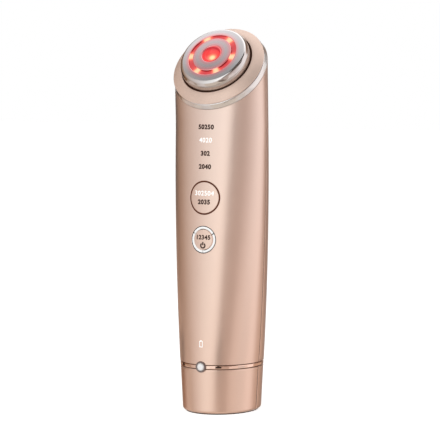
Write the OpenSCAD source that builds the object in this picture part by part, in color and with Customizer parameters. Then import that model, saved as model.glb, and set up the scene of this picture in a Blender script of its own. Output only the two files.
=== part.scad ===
// Handheld facial care device: a tapered body that stands on its base, with a
// tilted round head that carries two ring electrodes, a ring of red lamps and a
// centre lamp. The front is -Y, +Z is up and the origin is on the standing face.

/* [Body] */
// Width across the shoulders
body_w = 51.6; // [48:0.2:56]
// Width just above the trim band
waist_w = 43; // [39:0.2:45]
// Depth of the front at the trim band, from the parting plane
front_foot = 24.1; // [22:0.1:27]
// Depth of the front at the neck, from the parting plane
front_neck = 18.2; // [17:0.1:20]
// Depth of the back at the trim band, from the parting plane
rear_foot = 23.4; // [21:0.1:26]
// Depth of the back at the neck, from the parting plane
rear_neck = 15.2; // [14.5:0.1:17]
// Height of the neck, where the walls start up to the tilted head
neck_z = 151; // [146:0.5:160]
// Height at which the body reaches its full width
shoulder_z = 141; // [110:1:150]
// Thickness of the casing walls
wall = 1.8; // [1.4:0.1:2.2]

/* [Base] */
// Height of the top edge of the lower housing
base_h = 23.7; // [18:0.1:26]
// Height of the trim band between the lower housing and the body
band_h = 2.5; // [2:0.1:3.5]
// Width of the open joint line on each side of the trim band
band_line = 0.3; // [0.2:0.05:0.5]
// How far the band and the lower housing are set in from the body
base_step = 0.25; // [0.1:0.05:0.4]
// Width of the lower housing at its foot
foot_w = 39.8; // [36:0.2:41]
// Depth of the front of the lower housing at its foot
foot_front = 23.3; // [21:0.1:24]
// Depth of the back of the lower housing at its foot
foot_rear = 22.6; // [20:0.1:23]
// Radius round the bottom edge
foot_round = 1.6; // [1:0.1:2]
// How far the rubber foot stands out below the lower housing
foot_stand = 0.5; // [0.3:0.1:1]
// Thickness of the base plate, from the housing's ledge down
plate_t = 2.6; // [2.4:0.1:3]
// Radius of the jewel's setting
jewel_r = 2.9; // [2.2:0.1:3.4]

/* [Head] */
// Tilt of the head face from level
tilt = 50; // [46:1:54]
// How far the centre of the electrode face is in front of the parting plane
face_y = 11.6; // [10.5:0.1:12.5]
// Height of the centre of the electrode face above the neck
face_rise = 35.2; // [33:0.2:38]
// Width of the bezel's ring
bezel_w = 5.4; // [5:0.1:6]
// How far the electrode face stands above the bezel's inner edge
electrode_stand = 6.8; // [6:0.1:8]
// Drop of the bezel from its inner edge to its outer edge
bezel_drop = 2.7; // [2.2:0.1:3.5]
// Height of the polished rim under the bezel
rim_h = 3.5; // [3:0.1:4]
// Gap round the outer electrode, which the seal fills
seal_gap = 0.6; // [0.5:0.05:0.9]
// Outer radius of the light ring
ring_out_r = 13.05; // [12.6:0.05:13.6]
// Inner radius of the light ring
ring_in_r = 10.7; // [10:0.05:11]
// Radius of the centre lens
lens_r = 5.2; // [4.5:0.1:6]
// Number of lamps in the light ring
lamp_count = 6; // [4:1:8]
// Thickness of the electrode plates
electrode_t = 1.6; // [1.2:0.1:2]

/* [Buttons] */
// Number of lit marks above the buttons
mark_count = 4; // [2:1:4]
// Drop from the neck to the highest mark
mark_drop = 2.1; // [1.5:0.1:4]
// Distance from one mark to the next
mark_step = 6.8; // [5:0.1:7.5]
// Drop from the lowest mark to the centre of the mode button
mode_drop = 15.9; // [14:0.1:18]
// Radius of the mode button
mode_r = 8.4; // [7.5:0.1:9]
// Drop from the mode button to the level button
level_drop = 21.6; // [19.5:0.1:25]
// Radius of the level button
level_r = 5.35; // [4.8:0.05:6]
// Width of the lit ring round the level button
level_ring_w = 1.6; // [1.2:0.1:2]
// Open gap round a button
button_gap = 0.3; // [0.15:0.05:0.45]
// Travel of a button
button_travel = 0.5; // [0.3:0.1:0.6]
// Height of the battery mark above the trim band
charge_rise = 10.9; // [9:0.1:12]

/* [Inside] */
// Thickness of the frame's spine
spine_t = 2; // [1.6:0.1:2.6]
// Width of the frame's spine
spine_w = 28; // [26:0.5:29]
// Width of the main board
board_w = 25; // [23:0.5:26]
// Thickness of the circuit boards
board_t = 1.2; // [1:0.1:1.6]
// Distance from the spine to the main board
board_stand = 8; // [7:0.1:8.6]
// Height of a push switch
switch_h = 3.4; // [2.8:0.1:3.8]
// Radius of the battery cell
battery_r = 7; // [6:0.1:7.2]
// Length of the battery cell
battery_len = 50; // [40:1:52]
// Radius of the vibration motor
motor_r = 3.25; // [2.8:0.05:3.5]
// Length of the vibration motor
motor_len = 14; // [10:0.5:15]
// Radius of the rotor weight
weight_r = 4.2; // [3.4:0.1:4.4]
// Side of the cooling module
cooler_w = 15; // [12:0.5:16]

/* [Hidden] */
$fn = 64;
// Side gap between fixed pieces that fit into one another
clear = 0.05;
// Side gap between a moving piece and its guide
slide_clear = 0.1;

// Heights of the casing
body_z = base_h + band_h;
face_z = neck_z + face_rise;
cup_z = foot_stand;

// Radii of the head, which is as wide as the shoulders
head_r = body_w / 2;
bezel_r = head_r - 0.7;
bezel_hole_r = bezel_r - bezel_w;
electrode_r = bezel_hole_r - seal_gap;

// Depths along the head's axis, counted down from the electrode face
bezel_in_h = electrode_stand;
bezel_out_h = bezel_in_h + bezel_drop;
rim_top_h = bezel_out_h + 0.3;
seat_h = rim_top_h + rim_h;
rim_in_r = head_r - wall + 0.1;
cup_wall = 1.8;
cup_h = bezel_in_h + 2.4;
ring_recess = 0.45;
lens_recess = 0.3;
lens_dish = 2.3;
carrier_r = electrode_r - cup_wall - clear;
carrier_neck_r = carrier_r - 1;
carrier_top_h = electrode_t + 1.8;
carrier_t = 3;
led_board_h = carrier_top_h + carrier_t;
skirt_t = 1.2;
led_board_r = carrier_r - skirt_t - 0.15;
cooler_h = led_board_h + board_t;
cooler_t = 2.6;
sink_h = cooler_h + cooler_t;
sink_w = cooler_w + 3;
sink_base_t = 3;
fin_len = 5.2;
head_plate_h = seat_h + 0.6;
head_plate_t = 1.6;
head_plate_r = carrier_r + 1.3;
frame_top_h = head_plate_h + head_plate_t;
post_r = 1.6;
post_place_r = head_r - wall - 2.7;
post_angles = [0, 180, 240, 300];
lamp_pitch_r = (ring_out_r + ring_in_r) / 2;
lamp_hole_r = (ring_out_r - ring_in_r) / 2 + 0.2;
lamp_w = 1.8;
lamp_t = 1.2;

// Heights of the marks and buttons on the front
function mark_z(i) = neck_z - mark_drop - i * mark_step;
mode_z = mark_z(mark_count - 1) - mode_drop;
level_z = mode_z - level_drop;
charge_z = body_z + charge_rise;
level_ring_r = level_r + slide_clear + level_ring_w;
mode_flange_r = mode_r + 1.4;

// Places inside the body
spine_front = 0;
spine_back = spine_front + spine_t;
board_back = spine_front - board_stand;
board_front = board_back - board_t;
low_screw_rise = 22.8;
high_screw_rise = 4;
low_screw_z = body_z + low_screw_rise;
high_screw_z = neck_z + high_screw_rise;
screw_boss_r = 2.6;
board_z0 = charge_z - 6;
board_z1 = mark_z(0) + 2.2;
spine_top = high_screw_z + screw_boss_r + 0.4;
battery_gap = 0.3;
battery_y = spine_back + battery_gap + battery_r;
shelf_rise = 6;
shelf_z = low_screw_z + shelf_rise;
shelf_t = 2;
contact_t = 0.4;
contact_w = 6;
contact_tab = 4;
motor_room = 5;
battery_z0 = shelf_z + shelf_t + contact_t;
battery_z1 = battery_z0 + battery_len;
motor_y = spine_back + weight_r + 0.5;
motor_z = battery_z1 + contact_tab + motor_room + motor_r;
motor_x1 = 4;
motor_x0 = motor_x1 - motor_len;
weight_x0 = motor_x1 + 1.6;
weight_len = 4.6;
shaft_r = 0.75;
shaft_in = 4;

// Base plate and its ledge in the lower housing
ledge_t = 1.2;
ledge_slope = 1.6;
plate_top = cup_z + 0.3 + plate_t;
pillar_r = 3;
pillar_x = 9.5;
pillar_top = base_h - 4;
contact_pad_r = 2;
contact_pad_x = 4.5;
contact_pad_y = 11;

// Screws
screw_r = 1.05;
pilot_r = 1.1;
screw_head_r = 2.2;
screw_head_t = 1.4;
base_head_t = 0.9;
small_screw_r = 0.85;
small_pilot_r = 0.9;
small_head_r = 1.7;
small_head_t = 1.2;
case_seat = 4;
case_reach = 8;
neck_reach = 5;
board_reach = 5;
base_screw_len = 9;
pilot_spare = 1;

// Mesh steps of the curved casing
side_steps = 30;
body_rows = 14;
head_rows = 4;
patch_steps = 8;

// Colours as they look on the object
rose = [0.85, 0.70, 0.62];
champagne = [0.86, 0.76, 0.69];
silver = [0.78, 0.78, 0.79];
lamp_red = [0.90, 0.20, 0.20];
dark_rubber = [0.16, 0.10, 0.08];
ivory = [0.90, 0.88, 0.84];
board_green = [0.10, 0.32, 0.20];
black_plastic = [0.08, 0.08, 0.09];
steel = [0.62, 0.63, 0.65];
copper = [0.80, 0.55, 0.32];

// Half width and depths of the body at a height
function unit(t) = max(0, min(1, t));
function half_w(z) =
    waist_w / 2
    + (body_w - waist_w) / 2
    * (1 - pow(1 - unit((z - body_z) / (shoulder_z - body_z)), 1.9));
function taper(z) = pow(unit((z - body_z) / (neck_z - body_z)), 1.4);
function front_d(z) = front_foot + (front_neck - front_foot) * taper(z);
function rear_d(z) = rear_foot + (rear_neck - rear_foot) * taper(z);

// Point of an egg-shaped section: half width, front depth, rear depth, angle
function egg(w, front, rear, a) = [w * cos(a), (sin(a) < 0 ? front : rear) * sin(a)];
function body_point(z, a, inset) =
    concat(egg(half_w(z) - inset, front_d(z) - inset, rear_d(z) - inset, a), [z]);

// Point on a circle about the head's axis, at a depth below the electrode face
function head_point(a, r, h) = [
    r * cos(a),
    -face_y + r * sin(a) * cos(tilt) + h * sin(tilt),
    face_z + r * sin(a) * sin(tilt) - h * cos(tilt)
];

// Front surface of the body at a place across and a height
function front_y(x, z, inset) =
    -(front_d(z) - inset) * sqrt(1 - pow(x / (half_w(z) - inset), 2));

function mix(p, q, t) = p + (q - p) * t;
function flat(rows) = [for (row = rows) each row];
function angles(from, to) = [for (k = [0:side_steps]) from + (to - from) * k / side_steps];

// One row of the body's wall: level rows up to the neck, then rows that lean to the head
function body_row(i, list, inset) = [
    for (a = list)
        i <= body_rows
            ? body_point(body_z + (neck_z - body_z) * i / body_rows, a, inset)
            : mix(body_point(neck_z, a, inset), head_point(a, head_r - inset, seat_h),
                  (i - body_rows) / head_rows)
];
function body_wall(list, inset, from = 0, to = body_rows + head_rows) =
    [for (i = [from:to]) body_row(i, list, inset)];

// Half width and depths of the lower housing at a height
function cup_part(z) = (z - cup_z) / (base_h - cup_z);
function cup_point(z, a, inset) = concat(
    egg(mix(foot_w / 2, waist_w / 2 - base_step, cup_part(z)) - inset,
        mix(foot_front, front_foot - base_step, cup_part(z)) - inset,
        mix(foot_rear, rear_foot - base_step, cup_part(z)) - inset, a),
    [z]);
function cup_wall_rows(list, profile) =
    [for (p = profile) [for (a = list) cup_point(p[1], a, p[0])]];

// Closed solid between two grids of points, the outer one seen from outside
module sheet(outer, inner) {
    rows = len(outer);
    cols = len(outer[0]);
    count = rows * cols;
    last = rows - 1;
    end = cols - 1;
    function o(i, k) = i * cols + k;
    function n(i, k) = count + i * cols + k;
    wall_faces = [
        for (i = [0:last - 1], k = [0:end - 1]) each [
            [o(i, k), o(i + 1, k), o(i + 1, k + 1)],
            [o(i, k), o(i + 1, k + 1), o(i, k + 1)],
            [n(i, k), n(i + 1, k + 1), n(i + 1, k)],
            [n(i, k), n(i, k + 1), n(i + 1, k + 1)]
        ]
    ];
    rim_faces = [
        for (k = [0:end - 1]) each [
            [o(0, k), o(0, k + 1), n(0, k + 1)],
            [o(0, k), n(0, k + 1), n(0, k)],
            [o(last, k + 1), o(last, k), n(last, k)],
            [o(last, k + 1), n(last, k), n(last, k + 1)]
        ]
    ];
    edge_faces = [
        for (i = [0:last - 1]) each [
            [o(i + 1, 0), o(i, 0), n(i, 0)],
            [o(i + 1, 0), n(i, 0), n(i + 1, 0)],
            [o(i, end), o(i + 1, end), n(i + 1, end)],
            [o(i, end), n(i + 1, end), n(i, end)]
        ]
    ];
    polyhedron(points = concat(flat(outer), flat(inner)),
               faces = concat(wall_faces, rim_faces, edge_faces));
}

// Solid behind a square patch of the front surface, back to a flat plane
module front_patch(z0, r, back_y) {
    reach = r + 1;
    steps = [for (k = [-patch_steps / 2:patch_steps / 2]) 2 * k / patch_steps];
    sheet([for (v = steps) [for (u = steps)
              [u * reach, front_y(u * reach, z0 + v * reach, 0), z0 + v * reach]]],
          [for (v = steps) [for (u = steps) [u * reach, back_y, z0 + v * reach]]]);
}

// Plane shape of the body's section at the trim band, set in by an amount
module waist_outline(inset) {
    polygon([
        for (k = [0:2 * side_steps - 1])
            egg(waist_w / 2 - inset, front_foot - inset, rear_foot - inset, 180 * k / side_steps)
    ]);
}

module foot_outline(inset) {
    polygon([
        for (k = [0:2 * side_steps - 1])
            egg(foot_w / 2 - inset, foot_front - inset, foot_rear - inset, 180 * k / side_steps)
    ]);
}

// Places a child in the head's frame: origin at the electrode face, +Z out of it
module on_head() {
    translate([0, -face_y, face_z]) rotate([tilt, 0, 0]) children();
}

module head_disc(r, h0, h1) {
    translate([0, 0, -h1]) cylinder(r = r, h = h1 - h0);
}

module head_ring(r_in, r_out, h0, h1) {
    difference() {
        head_disc(r_out, h0, h1);
        head_disc(r_in, h0 - 1, h1 + 1);
    }
}

// Cylinder along Y between two depths
module rod_y(r, x, z, y0, y1) {
    translate([x, y0, z]) rotate([-90, 0, 0]) cylinder(r = r, h = y1 - y0);
}

module block(x0, x1, y0, y1, z0, z1) {
    translate([x0, y0, z0]) cube([x1 - x0, y1 - y0, z1 - z0]);
}

// Pocket across the trim band that takes the jewel's setting
jewel_z = base_h + band_h / 2;
jewel_seat_y = -(front_foot - 1.2);
module jewel_pocket() {
    rod_y(jewel_r + clear, 0, jewel_z, -front_foot - 5, jewel_seat_y);
}

// Casing

module front_shell() {
    half = angles(180, 360);
    color(rose) difference() {
        union() {
            sheet(body_wall(half, 0), body_wall(half, wall));
            for (z = [low_screw_z, high_screw_z])
                rod_y(screw_boss_r, 0, z, -(front_d(z) - wall / 2), spine_front);
        }
        for (z = [low_screw_z, high_screw_z])
            rod_y(pilot_r, 0, z, spine_front - case_reach - pilot_spare, spine_front + 1);
        rod_y(mode_r + button_gap, 0, mode_z, -front_foot - 5, board_front - 1);
        rod_y(level_ring_r + clear, 0, level_z, -front_foot - 5, board_front - 1);
        jewel_pocket();
    }
}

module rear_shell() {
    half = angles(0, 180);
    color(rose) difference() {
        union() {
            sheet(body_wall(half, 0), body_wall(half, wall));
            for (z = [low_screw_z, high_screw_z])
                rod_y(screw_boss_r + 0.6, 0, z, spine_back, rear_d(z) - wall / 2);
        }
        for (z = [low_screw_z, high_screw_z]) {
            rod_y(screw_r + 0.3, 0, z, spine_back - 1, rear_foot + 5);
            rod_y(screw_head_r + 0.2, 0, z, spine_back + case_seat, rear_foot + 5);
        }
    }
}

// Outer and inner outlines of the lower housing, as [inset, height] from the foot up
cup_inset = foot_round + 0.5;
ledge_inset = cup_inset + 1.3;
cup_outer = [
    [foot_round, cup_z],
    [foot_round * (1 - sin(30)), cup_z + foot_round * (1 - cos(30))],
    [foot_round * (1 - sin(60)), cup_z + foot_round * (1 - cos(60))],
    [0, cup_z + foot_round],
    [0, plate_top + 0.2],
    [0, plate_top + ledge_t],
    [0, plate_top + ledge_t + ledge_slope],
    [0, base_h]
];
cup_inner = [
    [cup_inset, cup_z],
    [cup_inset, cup_z + 0.3],
    [cup_inset, cup_z + 0.9],
    [cup_inset, plate_top],
    [ledge_inset, plate_top],
    [ledge_inset, plate_top + ledge_t],
    [wall, plate_top + ledge_t + ledge_slope],
    [wall, base_h]
];

module base_cover(from, to) {
    half = angles(from, to);
    color(rose) difference() {
        sheet(cup_wall_rows(half, cup_outer), cup_wall_rows(half, cup_inner));
        jewel_pocket();
    }
}

module base_front_cover() { base_cover(180, 360); }

module base_rear_cover() { base_cover(0, 180); }

// Rubber foot pad, let into the underside of the base plate over its screws
pad_inset = cup_inset + 1.5;
pad_depth = 0.7;
pad_top = plate_top - plate_t + pad_depth;

module base_plate() {
    color(ivory) difference() {
        translate([0, 0, plate_top - plate_t]) linear_extrude(plate_t)
            foot_outline(cup_inset + 0.1);
        translate([0, 0, pad_top - 3]) linear_extrude(3) foot_outline(pad_inset - clear);
        for (x = [-pillar_x, pillar_x])
            translate([x, spine_t / 2, 0]) {
                cylinder(r = screw_r + 0.2, h = plate_top + 1);
                cylinder(r = screw_head_r + 0.2, h = pad_top + base_head_t);
            }
        for (x = [-contact_pad_x, contact_pad_x])
            translate([x, -contact_pad_y, 0]) cylinder(r = contact_pad_r + clear, h = plate_top + 1);
    }
}

module foot_pad() {
    color(dark_rubber) difference() {
        linear_extrude(pad_top) foot_outline(pad_inset);
        for (x = [-contact_pad_x, contact_pad_x])
            translate([x, -contact_pad_y, -1]) cylinder(r = contact_pad_r + 0.6, h = pad_top + 2);
    }
}

module charge_contacts() {
    sunk = 0.2;
    color(copper) for (x = [-contact_pad_x, contact_pad_x])
        translate([x, -contact_pad_y, 0]) {
            translate([0, 0, sunk]) cylinder(r = contact_pad_r, h = plate_top - sunk + 0.4);
            translate([0, 0, plate_top]) cylinder(r = contact_pad_r + 1, h = 0.8);
        }
}

module trim_band() {
    color(rose) difference() {
        translate([0, 0, base_h]) linear_extrude(band_h) waist_outline(base_step + 0.5);
        translate([0, 0, base_h - 1]) linear_extrude(band_h + 2) waist_outline(wall + 0.4);
        jewel_pocket();
    }
    color(rose) difference() {
        translate([0, 0, base_h + band_line]) linear_extrude(band_h - 2 * band_line)
            waist_outline(base_step);
        translate([0, 0, base_h - 1]) linear_extrude(band_h + 2) waist_outline(base_step + 0.5);
        jewel_pocket();
    }
}

jewel_proud = 0.5;
jewel_stone_r = jewel_r - 0.7;
jewel_stone_t = 1.1;

module jewel_setting() {
    front = -(front_foot + jewel_proud);
    color(silver) difference() {
        rod_y(jewel_r, 0, jewel_z, front, jewel_seat_y);
        rod_y(jewel_stone_r + clear, 0, jewel_z, front - 1, front + jewel_stone_t);
    }
}

module jewel() {
    base_y = -(front_foot + jewel_proud) + jewel_stone_t;
    color([0.95, 0.95, 0.97]) translate([0, base_y, jewel_z]) rotate([90, 0, 0]) {
        cylinder(r = jewel_stone_r, h = jewel_stone_t - 0.2);
        translate([0, 0, jewel_stone_t - 0.2])
            cylinder(r1 = jewel_stone_r, r2 = jewel_stone_r * 0.55, h = 0.6);
    }
}

// Head

// Rim with a rounded shoulder that stands out round the bezel
module head_rim() {
    shoulder_w = 0.8;
    shoulder_h = 1.6;
    foot_r = 0.4;
    color(silver) on_head() rotate_extrude() polygon(concat(
        [[rim_in_r, -seat_h]],
        [for (t = [-90:15:0])
            [head_r - foot_r + foot_r * cos(t), -seat_h + foot_r + foot_r * sin(t)]],
        [for (t = [0:15:90])
            [head_r - shoulder_w + shoulder_w * cos(t),
             -rim_top_h - shoulder_h + shoulder_h * sin(t)]],
        [[rim_in_r, -rim_top_h]]));
}

// Domed bezel: the top falls from the electrode's opening to the rim
bezel_steps = 10;
module at_posts() {
    for (a = post_angles) rotate([0, 0, a]) translate([post_place_r, 0, 0]) children();
}

module head_bezel() {
    edge_round = 0.5;
    color(champagne) on_head() difference() {
        union() {
            rotate_extrude() polygon(concat(
                [[bezel_hole_r, -rim_top_h - 0.8], [bezel_hole_r, -bezel_in_h - edge_round]],
                [for (k = [0:bezel_steps])
                    let (u = k / bezel_steps)
                    [bezel_hole_r + edge_round + (bezel_w - edge_round) * u,
                     -bezel_in_h - bezel_drop * pow(u, 1.5)]],
                [[bezel_r, -rim_top_h], [bezel_hole_r + 2.4, -rim_top_h],
                 [bezel_hole_r + 1.6, -rim_top_h - 0.8]]));
            at_posts() head_disc(post_r, rim_top_h - 0.4, head_plate_h);
        }
        at_posts() head_disc(small_pilot_r, rim_top_h, head_plate_h + 1);
    }
}

module head_seal() {
    color(dark_rubber) on_head()
        head_ring(electrode_r + clear, bezel_hole_r - clear, bezel_in_h + 0.6, cup_h);
}

// Metal cup: flat ring face, rounded edge and a side that widens down into the bezel
module outer_electrode() {
    edge_r = 1.5;
    side_lean = 16;
    edge_steps = 6;
    color(silver) on_head() rotate_extrude() polygon(concat(
        [[ring_out_r + clear, -electrode_t], [ring_out_r + clear, -0.15], [ring_out_r + 0.2, 0]],
        [for (k = [0:edge_steps])
            let (t = 90 - (90 - side_lean) * k / edge_steps)
            [electrode_r - 3.1 + edge_r * cos(t), -edge_r + edge_r * sin(t)]],
        [[electrode_r, -bezel_in_h], [electrode_r, -cup_h], [electrode_r - cup_wall, -cup_h],
         [electrode_r - cup_wall, -carrier_top_h], [carrier_neck_r + clear, -carrier_top_h],
         [carrier_neck_r + clear, -electrode_t]]));
}

module inner_electrode() {
    r0 = lens_r + 0.15;
    r1 = ring_in_r - clear;
    color(silver) on_head() rotate_extrude() polygon([
        [r0, -electrode_t], [r0, -0.2], [r0 + 0.2, 0],
        [r1 - 0.2, 0], [r1, -0.2], [r1, -electrode_t]]);
}

module light_ring() {
    color(lamp_red) on_head() head_ring(ring_in_r, ring_out_r, ring_recess, carrier_top_h);
}

// Centre lens with a dished face
module centre_lens() {
    color(lamp_red) on_head() rotate_extrude() polygon(concat(
        [[0, -carrier_top_h], [lens_r, -carrier_top_h], [lens_r, -lens_recess]],
        [for (k = [8:-1:0])
            let (u = k / 8) [(lens_r - 0.3) * u, -lens_recess - lens_dish * (1 - u * u)]]));
}

contact_angles = [30, 210];
contact_r = 0.6;
contact_places = [
    for (a = contact_angles, r = [(lens_r + ring_in_r) / 2, (ring_out_r + carrier_r) / 2])
        [r * cos(a), r * sin(a)]
];

module at_lamps() {
    for (k = [0:lamp_count - 1])
        rotate([0, 0, 360 * k / lamp_count]) translate([lamp_pitch_r, 0, 0]) children();
    children();
}

module electrode_carrier() {
    color(ivory) on_head() difference() {
        union() {
            head_disc(carrier_r, carrier_top_h, led_board_h);
            head_ring(lens_r + 0.15, ring_in_r - clear, electrode_t, carrier_top_h);
            head_ring(ring_out_r + clear, carrier_neck_r, electrode_t, carrier_top_h);
            head_ring(carrier_r - skirt_t, carrier_r, led_board_h, head_plate_h);
        }
        at_lamps() head_disc(lamp_hole_r, carrier_top_h - 1, led_board_h + 1);
        for (p = contact_places)
            translate(p) head_disc(contact_r + clear, electrode_t - 1, led_board_h + 1);
    }
}

module led_board() {
    color(board_green) on_head() head_disc(led_board_r, led_board_h, cooler_h);
}

module led_chips() {
    color([0.98, 0.90, 0.70]) on_head() at_lamps()
        translate([0, 0, -led_board_h + lamp_t / 2]) cube([lamp_w, lamp_w, lamp_t], center = true);
}

module electrode_contacts() {
    color(copper) on_head() for (p = contact_places)
        translate(p) head_disc(contact_r, electrode_t, led_board_h);
}

module cooling_module() {
    color([0.92, 0.92, 0.90]) on_head() translate([0, 0, -sink_h + cooler_t / 2])
        cube([cooler_w, cooler_w, cooler_t], center = true);
}

module heat_sink() {
    fin_t = 1.2;
    fins = 6;
    color(steel) on_head() {
        translate([0, 0, -sink_h - sink_base_t / 2])
            cube([sink_w, sink_w, sink_base_t], center = true);
        for (k = [0:fins - 1])
            translate([-sink_w / 2 + fin_t / 2 + (sink_w - fin_t) * k / (fins - 1), 0,
                       -sink_h - sink_base_t - fin_len / 2])
                cube([fin_t, sink_w, fin_len], center = true);
    }
}

// Places of the neck screws on the head plate
neck_screw_x = head_plate_r - 2.4;
neck_screw_y = 1;
sink_hole_r = sink_w * 0.72;

module head_plate() {
    color(ivory) on_head() difference() {
        union() {
            head_disc(head_plate_r, head_plate_h, frame_top_h);
            for (a = post_angles)
                rotate([0, 0, a]) hull() {
                    translate([post_place_r, 0, 0]) head_disc(post_r + 0.6, head_plate_h, frame_top_h);
                    translate([head_plate_r - 4, 0, 0]) head_disc(post_r + 1.4, head_plate_h, frame_top_h);
                }
        }
        head_disc(sink_hole_r, head_plate_h - 1, frame_top_h + 1);
        at_posts() head_disc(small_screw_r + 0.15, head_plate_h - 1, frame_top_h + 1);
        for (x = [-neck_screw_x, neck_screw_x])
            translate([x, neck_screw_y, 0]) {
                head_disc(small_screw_r + 0.15, head_plate_h - 1, frame_top_h + 1);
                head_disc(small_head_r + 0.1, head_plate_h - 1, head_plate_h + 0.9);
            }
    }
}

module head_screws() {
    color(steel) on_head() at_posts() {
        head_disc(small_screw_r, rim_top_h + 0.4, frame_top_h);
        head_disc(small_head_r, frame_top_h, frame_top_h + small_head_t);
    }
}

module neck_screws() {
    color(steel) on_head() for (x = [-neck_screw_x, neck_screw_x])
        translate([x, neck_screw_y, 0]) {
            head_disc(small_screw_r, head_plate_h + 0.9, frame_top_h + neck_reach);
            head_disc(small_head_r, head_plate_h + 0.1, head_plate_h + 0.9);
        }
}

// Frame and what it carries

saddle_t = 4;
board_screw_x = board_w / 2 - 2.7;
board_screw_z = [board_z0 + 4, level_z - 10, board_z1 - 5];
arm_x = neck_screw_x - 2.4;
arm_w = 4.8;

module frame_arms() {
    block(-arm_x - arm_w, arm_x + arm_w, spine_front, spine_back, neck_z - 12, neck_z);
    difference() {
        for (side = [-1, 1])
            block(side > 0 ? arm_x : -arm_x - arm_w, side > 0 ? arm_x + arm_w : -arm_x,
                  spine_front - 2, spine_back + 2.6, neck_z - 12, face_z + 10);
        on_head() {
            translate([-50, -50, -frame_top_h]) cube([100, 100, 60]);
            for (x = [-neck_screw_x, neck_screw_x])
                translate([x, neck_screw_y, 0])
                    head_disc(small_pilot_r, frame_top_h - 1, frame_top_h + neck_reach + pilot_spare);
        }
    }
}

module motor_block() {
    reach = motor_r + 1.6;
    difference() {
        block(motor_x0 + 2, motor_x1 - 2, spine_back, motor_y + 1, motor_z - reach, motor_z + reach);
        translate([motor_x0 - 1, motor_y, motor_z]) rotate([0, 90, 0])
            cylinder(r = motor_r + clear, h = motor_len + 2);
    }
}

module inner_frame() {
    color(ivory) {
        difference() {
            union() {
                block(-spine_w / 2, spine_w / 2, spine_front, spine_back, plate_top, spine_top);
                for (x = [-pillar_x, pillar_x])
                    translate([x, spine_t / 2, plate_top])
                        cylinder(r = pillar_r, h = pillar_top - plate_top);
                for (x = [-board_screw_x, board_screw_x], z = board_screw_z)
                    rod_y(2.2, x, z, board_back, spine_front + 0.5);
            }
            for (x = [-pillar_x, pillar_x])
                translate([x, spine_t / 2, plate_top - 1])
                    cylinder(r = pilot_r, h = base_screw_len + pilot_spare);
            for (x = [-board_screw_x, board_screw_x], z = board_screw_z)
                rod_y(small_pilot_r, x, z, board_back - 1, board_back + board_reach + pilot_spare);
            for (z = [low_screw_z, high_screw_z])
                rod_y(screw_r + 0.3, 0, z, spine_front - 1, spine_back + 1);
        }
        block(-battery_r - 1, battery_r + 1, spine_back, battery_y + battery_r - 2,
              shelf_z, shelf_z + shelf_t);
        for (z = [battery_z0 + 6, battery_z1 - 6 - saddle_t])
            difference() {
                block(-battery_r - 1.4, battery_r + 1.4, spine_back, battery_y, z, z + saddle_t);
                translate([0, battery_y, z - 1]) cylinder(r = battery_r + clear, h = saddle_t + 2);
            }
        motor_block();
        frame_arms();
    }
}

module main_board() {
    color(board_green) difference() {
        block(-board_w / 2, board_w / 2, board_front, board_back, board_z0, board_z1);
        for (x = [-board_screw_x, board_screw_x], z = board_screw_z)
            rod_y(small_screw_r + 0.15, x, z, board_front - 1, board_back + 1);
        rod_y(screw_boss_r + 0.4, 0, low_screw_z, board_front - 1, board_back + 1);
    }
}

module board_screws() {
    color(steel) for (x = [-board_screw_x, board_screw_x], z = board_screw_z) {
        rod_y(small_screw_r, x, z, board_front, board_back + board_reach);
        rod_y(small_head_r, x, z, board_front - small_head_t, board_front);
    }
}

// Packages on the front of the main board, hung below the level button
processor_w = 9;
processor_t = 1.2;
coil_w = 8;
coil_t = 5;
driver_w = 6;
driver_t = 1.4;
charger_w = 9;
charger_t = 2.4;
chip_side = 5.5;
chip_drop = 17.5;
chip_row = 11.5;
chip_z = level_z - chip_drop;
chips = [
    [-chip_side, chip_z, processor_w, processor_w, processor_t],
    [chip_side, chip_z, coil_w, coil_w, coil_t],
    [-chip_side, chip_z - chip_row, driver_w, driver_w, driver_t],
    [chip_side, chip_z - chip_row, charger_w, driver_w, charger_t]
];

module board_chips() {
    color(black_plastic) for (c = chips)
        block(c[0] - c[2] / 2, c[0] + c[2] / 2, board_front - c[4], board_front,
              c[1] - c[3] / 2, c[1] + c[3] / 2);
}

// Buttons, switches and lit marks

switch_w = 6.2;
plunger_r = 1.7;
plunger_rise = 0.8;
switch_top = board_front - switch_h;
plunger_top = switch_top - plunger_rise;
button_flange_t = 1.2;
stem_r = 2.2;

module push_switch(z) {
    color(black_plastic) difference() {
        block(-switch_w / 2, switch_w / 2, switch_top, board_front, z - switch_w / 2, z + switch_w / 2);
        rod_y(plunger_r + slide_clear, 0, z, switch_top - 1, switch_top + 1.7);
    }
}

module push_plunger(z) {
    color(ivory) rod_y(plunger_r, 0, z, plunger_top, switch_top + 1);
}

module mode_switch() { push_switch(mode_z); }

module level_switch() { push_switch(level_z); }

module mode_switch_plunger() { push_plunger(mode_z); }

module level_switch_plunger() { push_plunger(level_z); }

// Front of the mode button's flange, just behind the shell's inner wall
mode_flange_y = front_y(mode_flange_r, mode_z + mode_flange_r, wall) + 0.3;

module mode_button_cap() {
    color(rose) {
        intersection() {
            rod_y(mode_r, 0, mode_z, -front_foot - 5, mode_flange_y + button_flange_t / 2);
            front_patch(mode_z, mode_r, mode_flange_y + button_flange_t);
        }
        rod_y(mode_flange_r, 0, mode_z, mode_flange_y, mode_flange_y + button_flange_t);
        rod_y(stem_r, 0, mode_z, mode_flange_y + button_flange_t / 2, plunger_top);
    }
}

level_cap_back = plunger_top - 2;

module level_button_cap() {
    color(rose) {
        intersection() {
            rod_y(level_r, 0, level_z, -front_foot - 5, level_cap_back);
            front_patch(level_z, level_r, level_cap_back + 1);
        }
        rod_y(stem_r, 0, level_z, level_cap_back - 1, plunger_top);
    }
}

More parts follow.
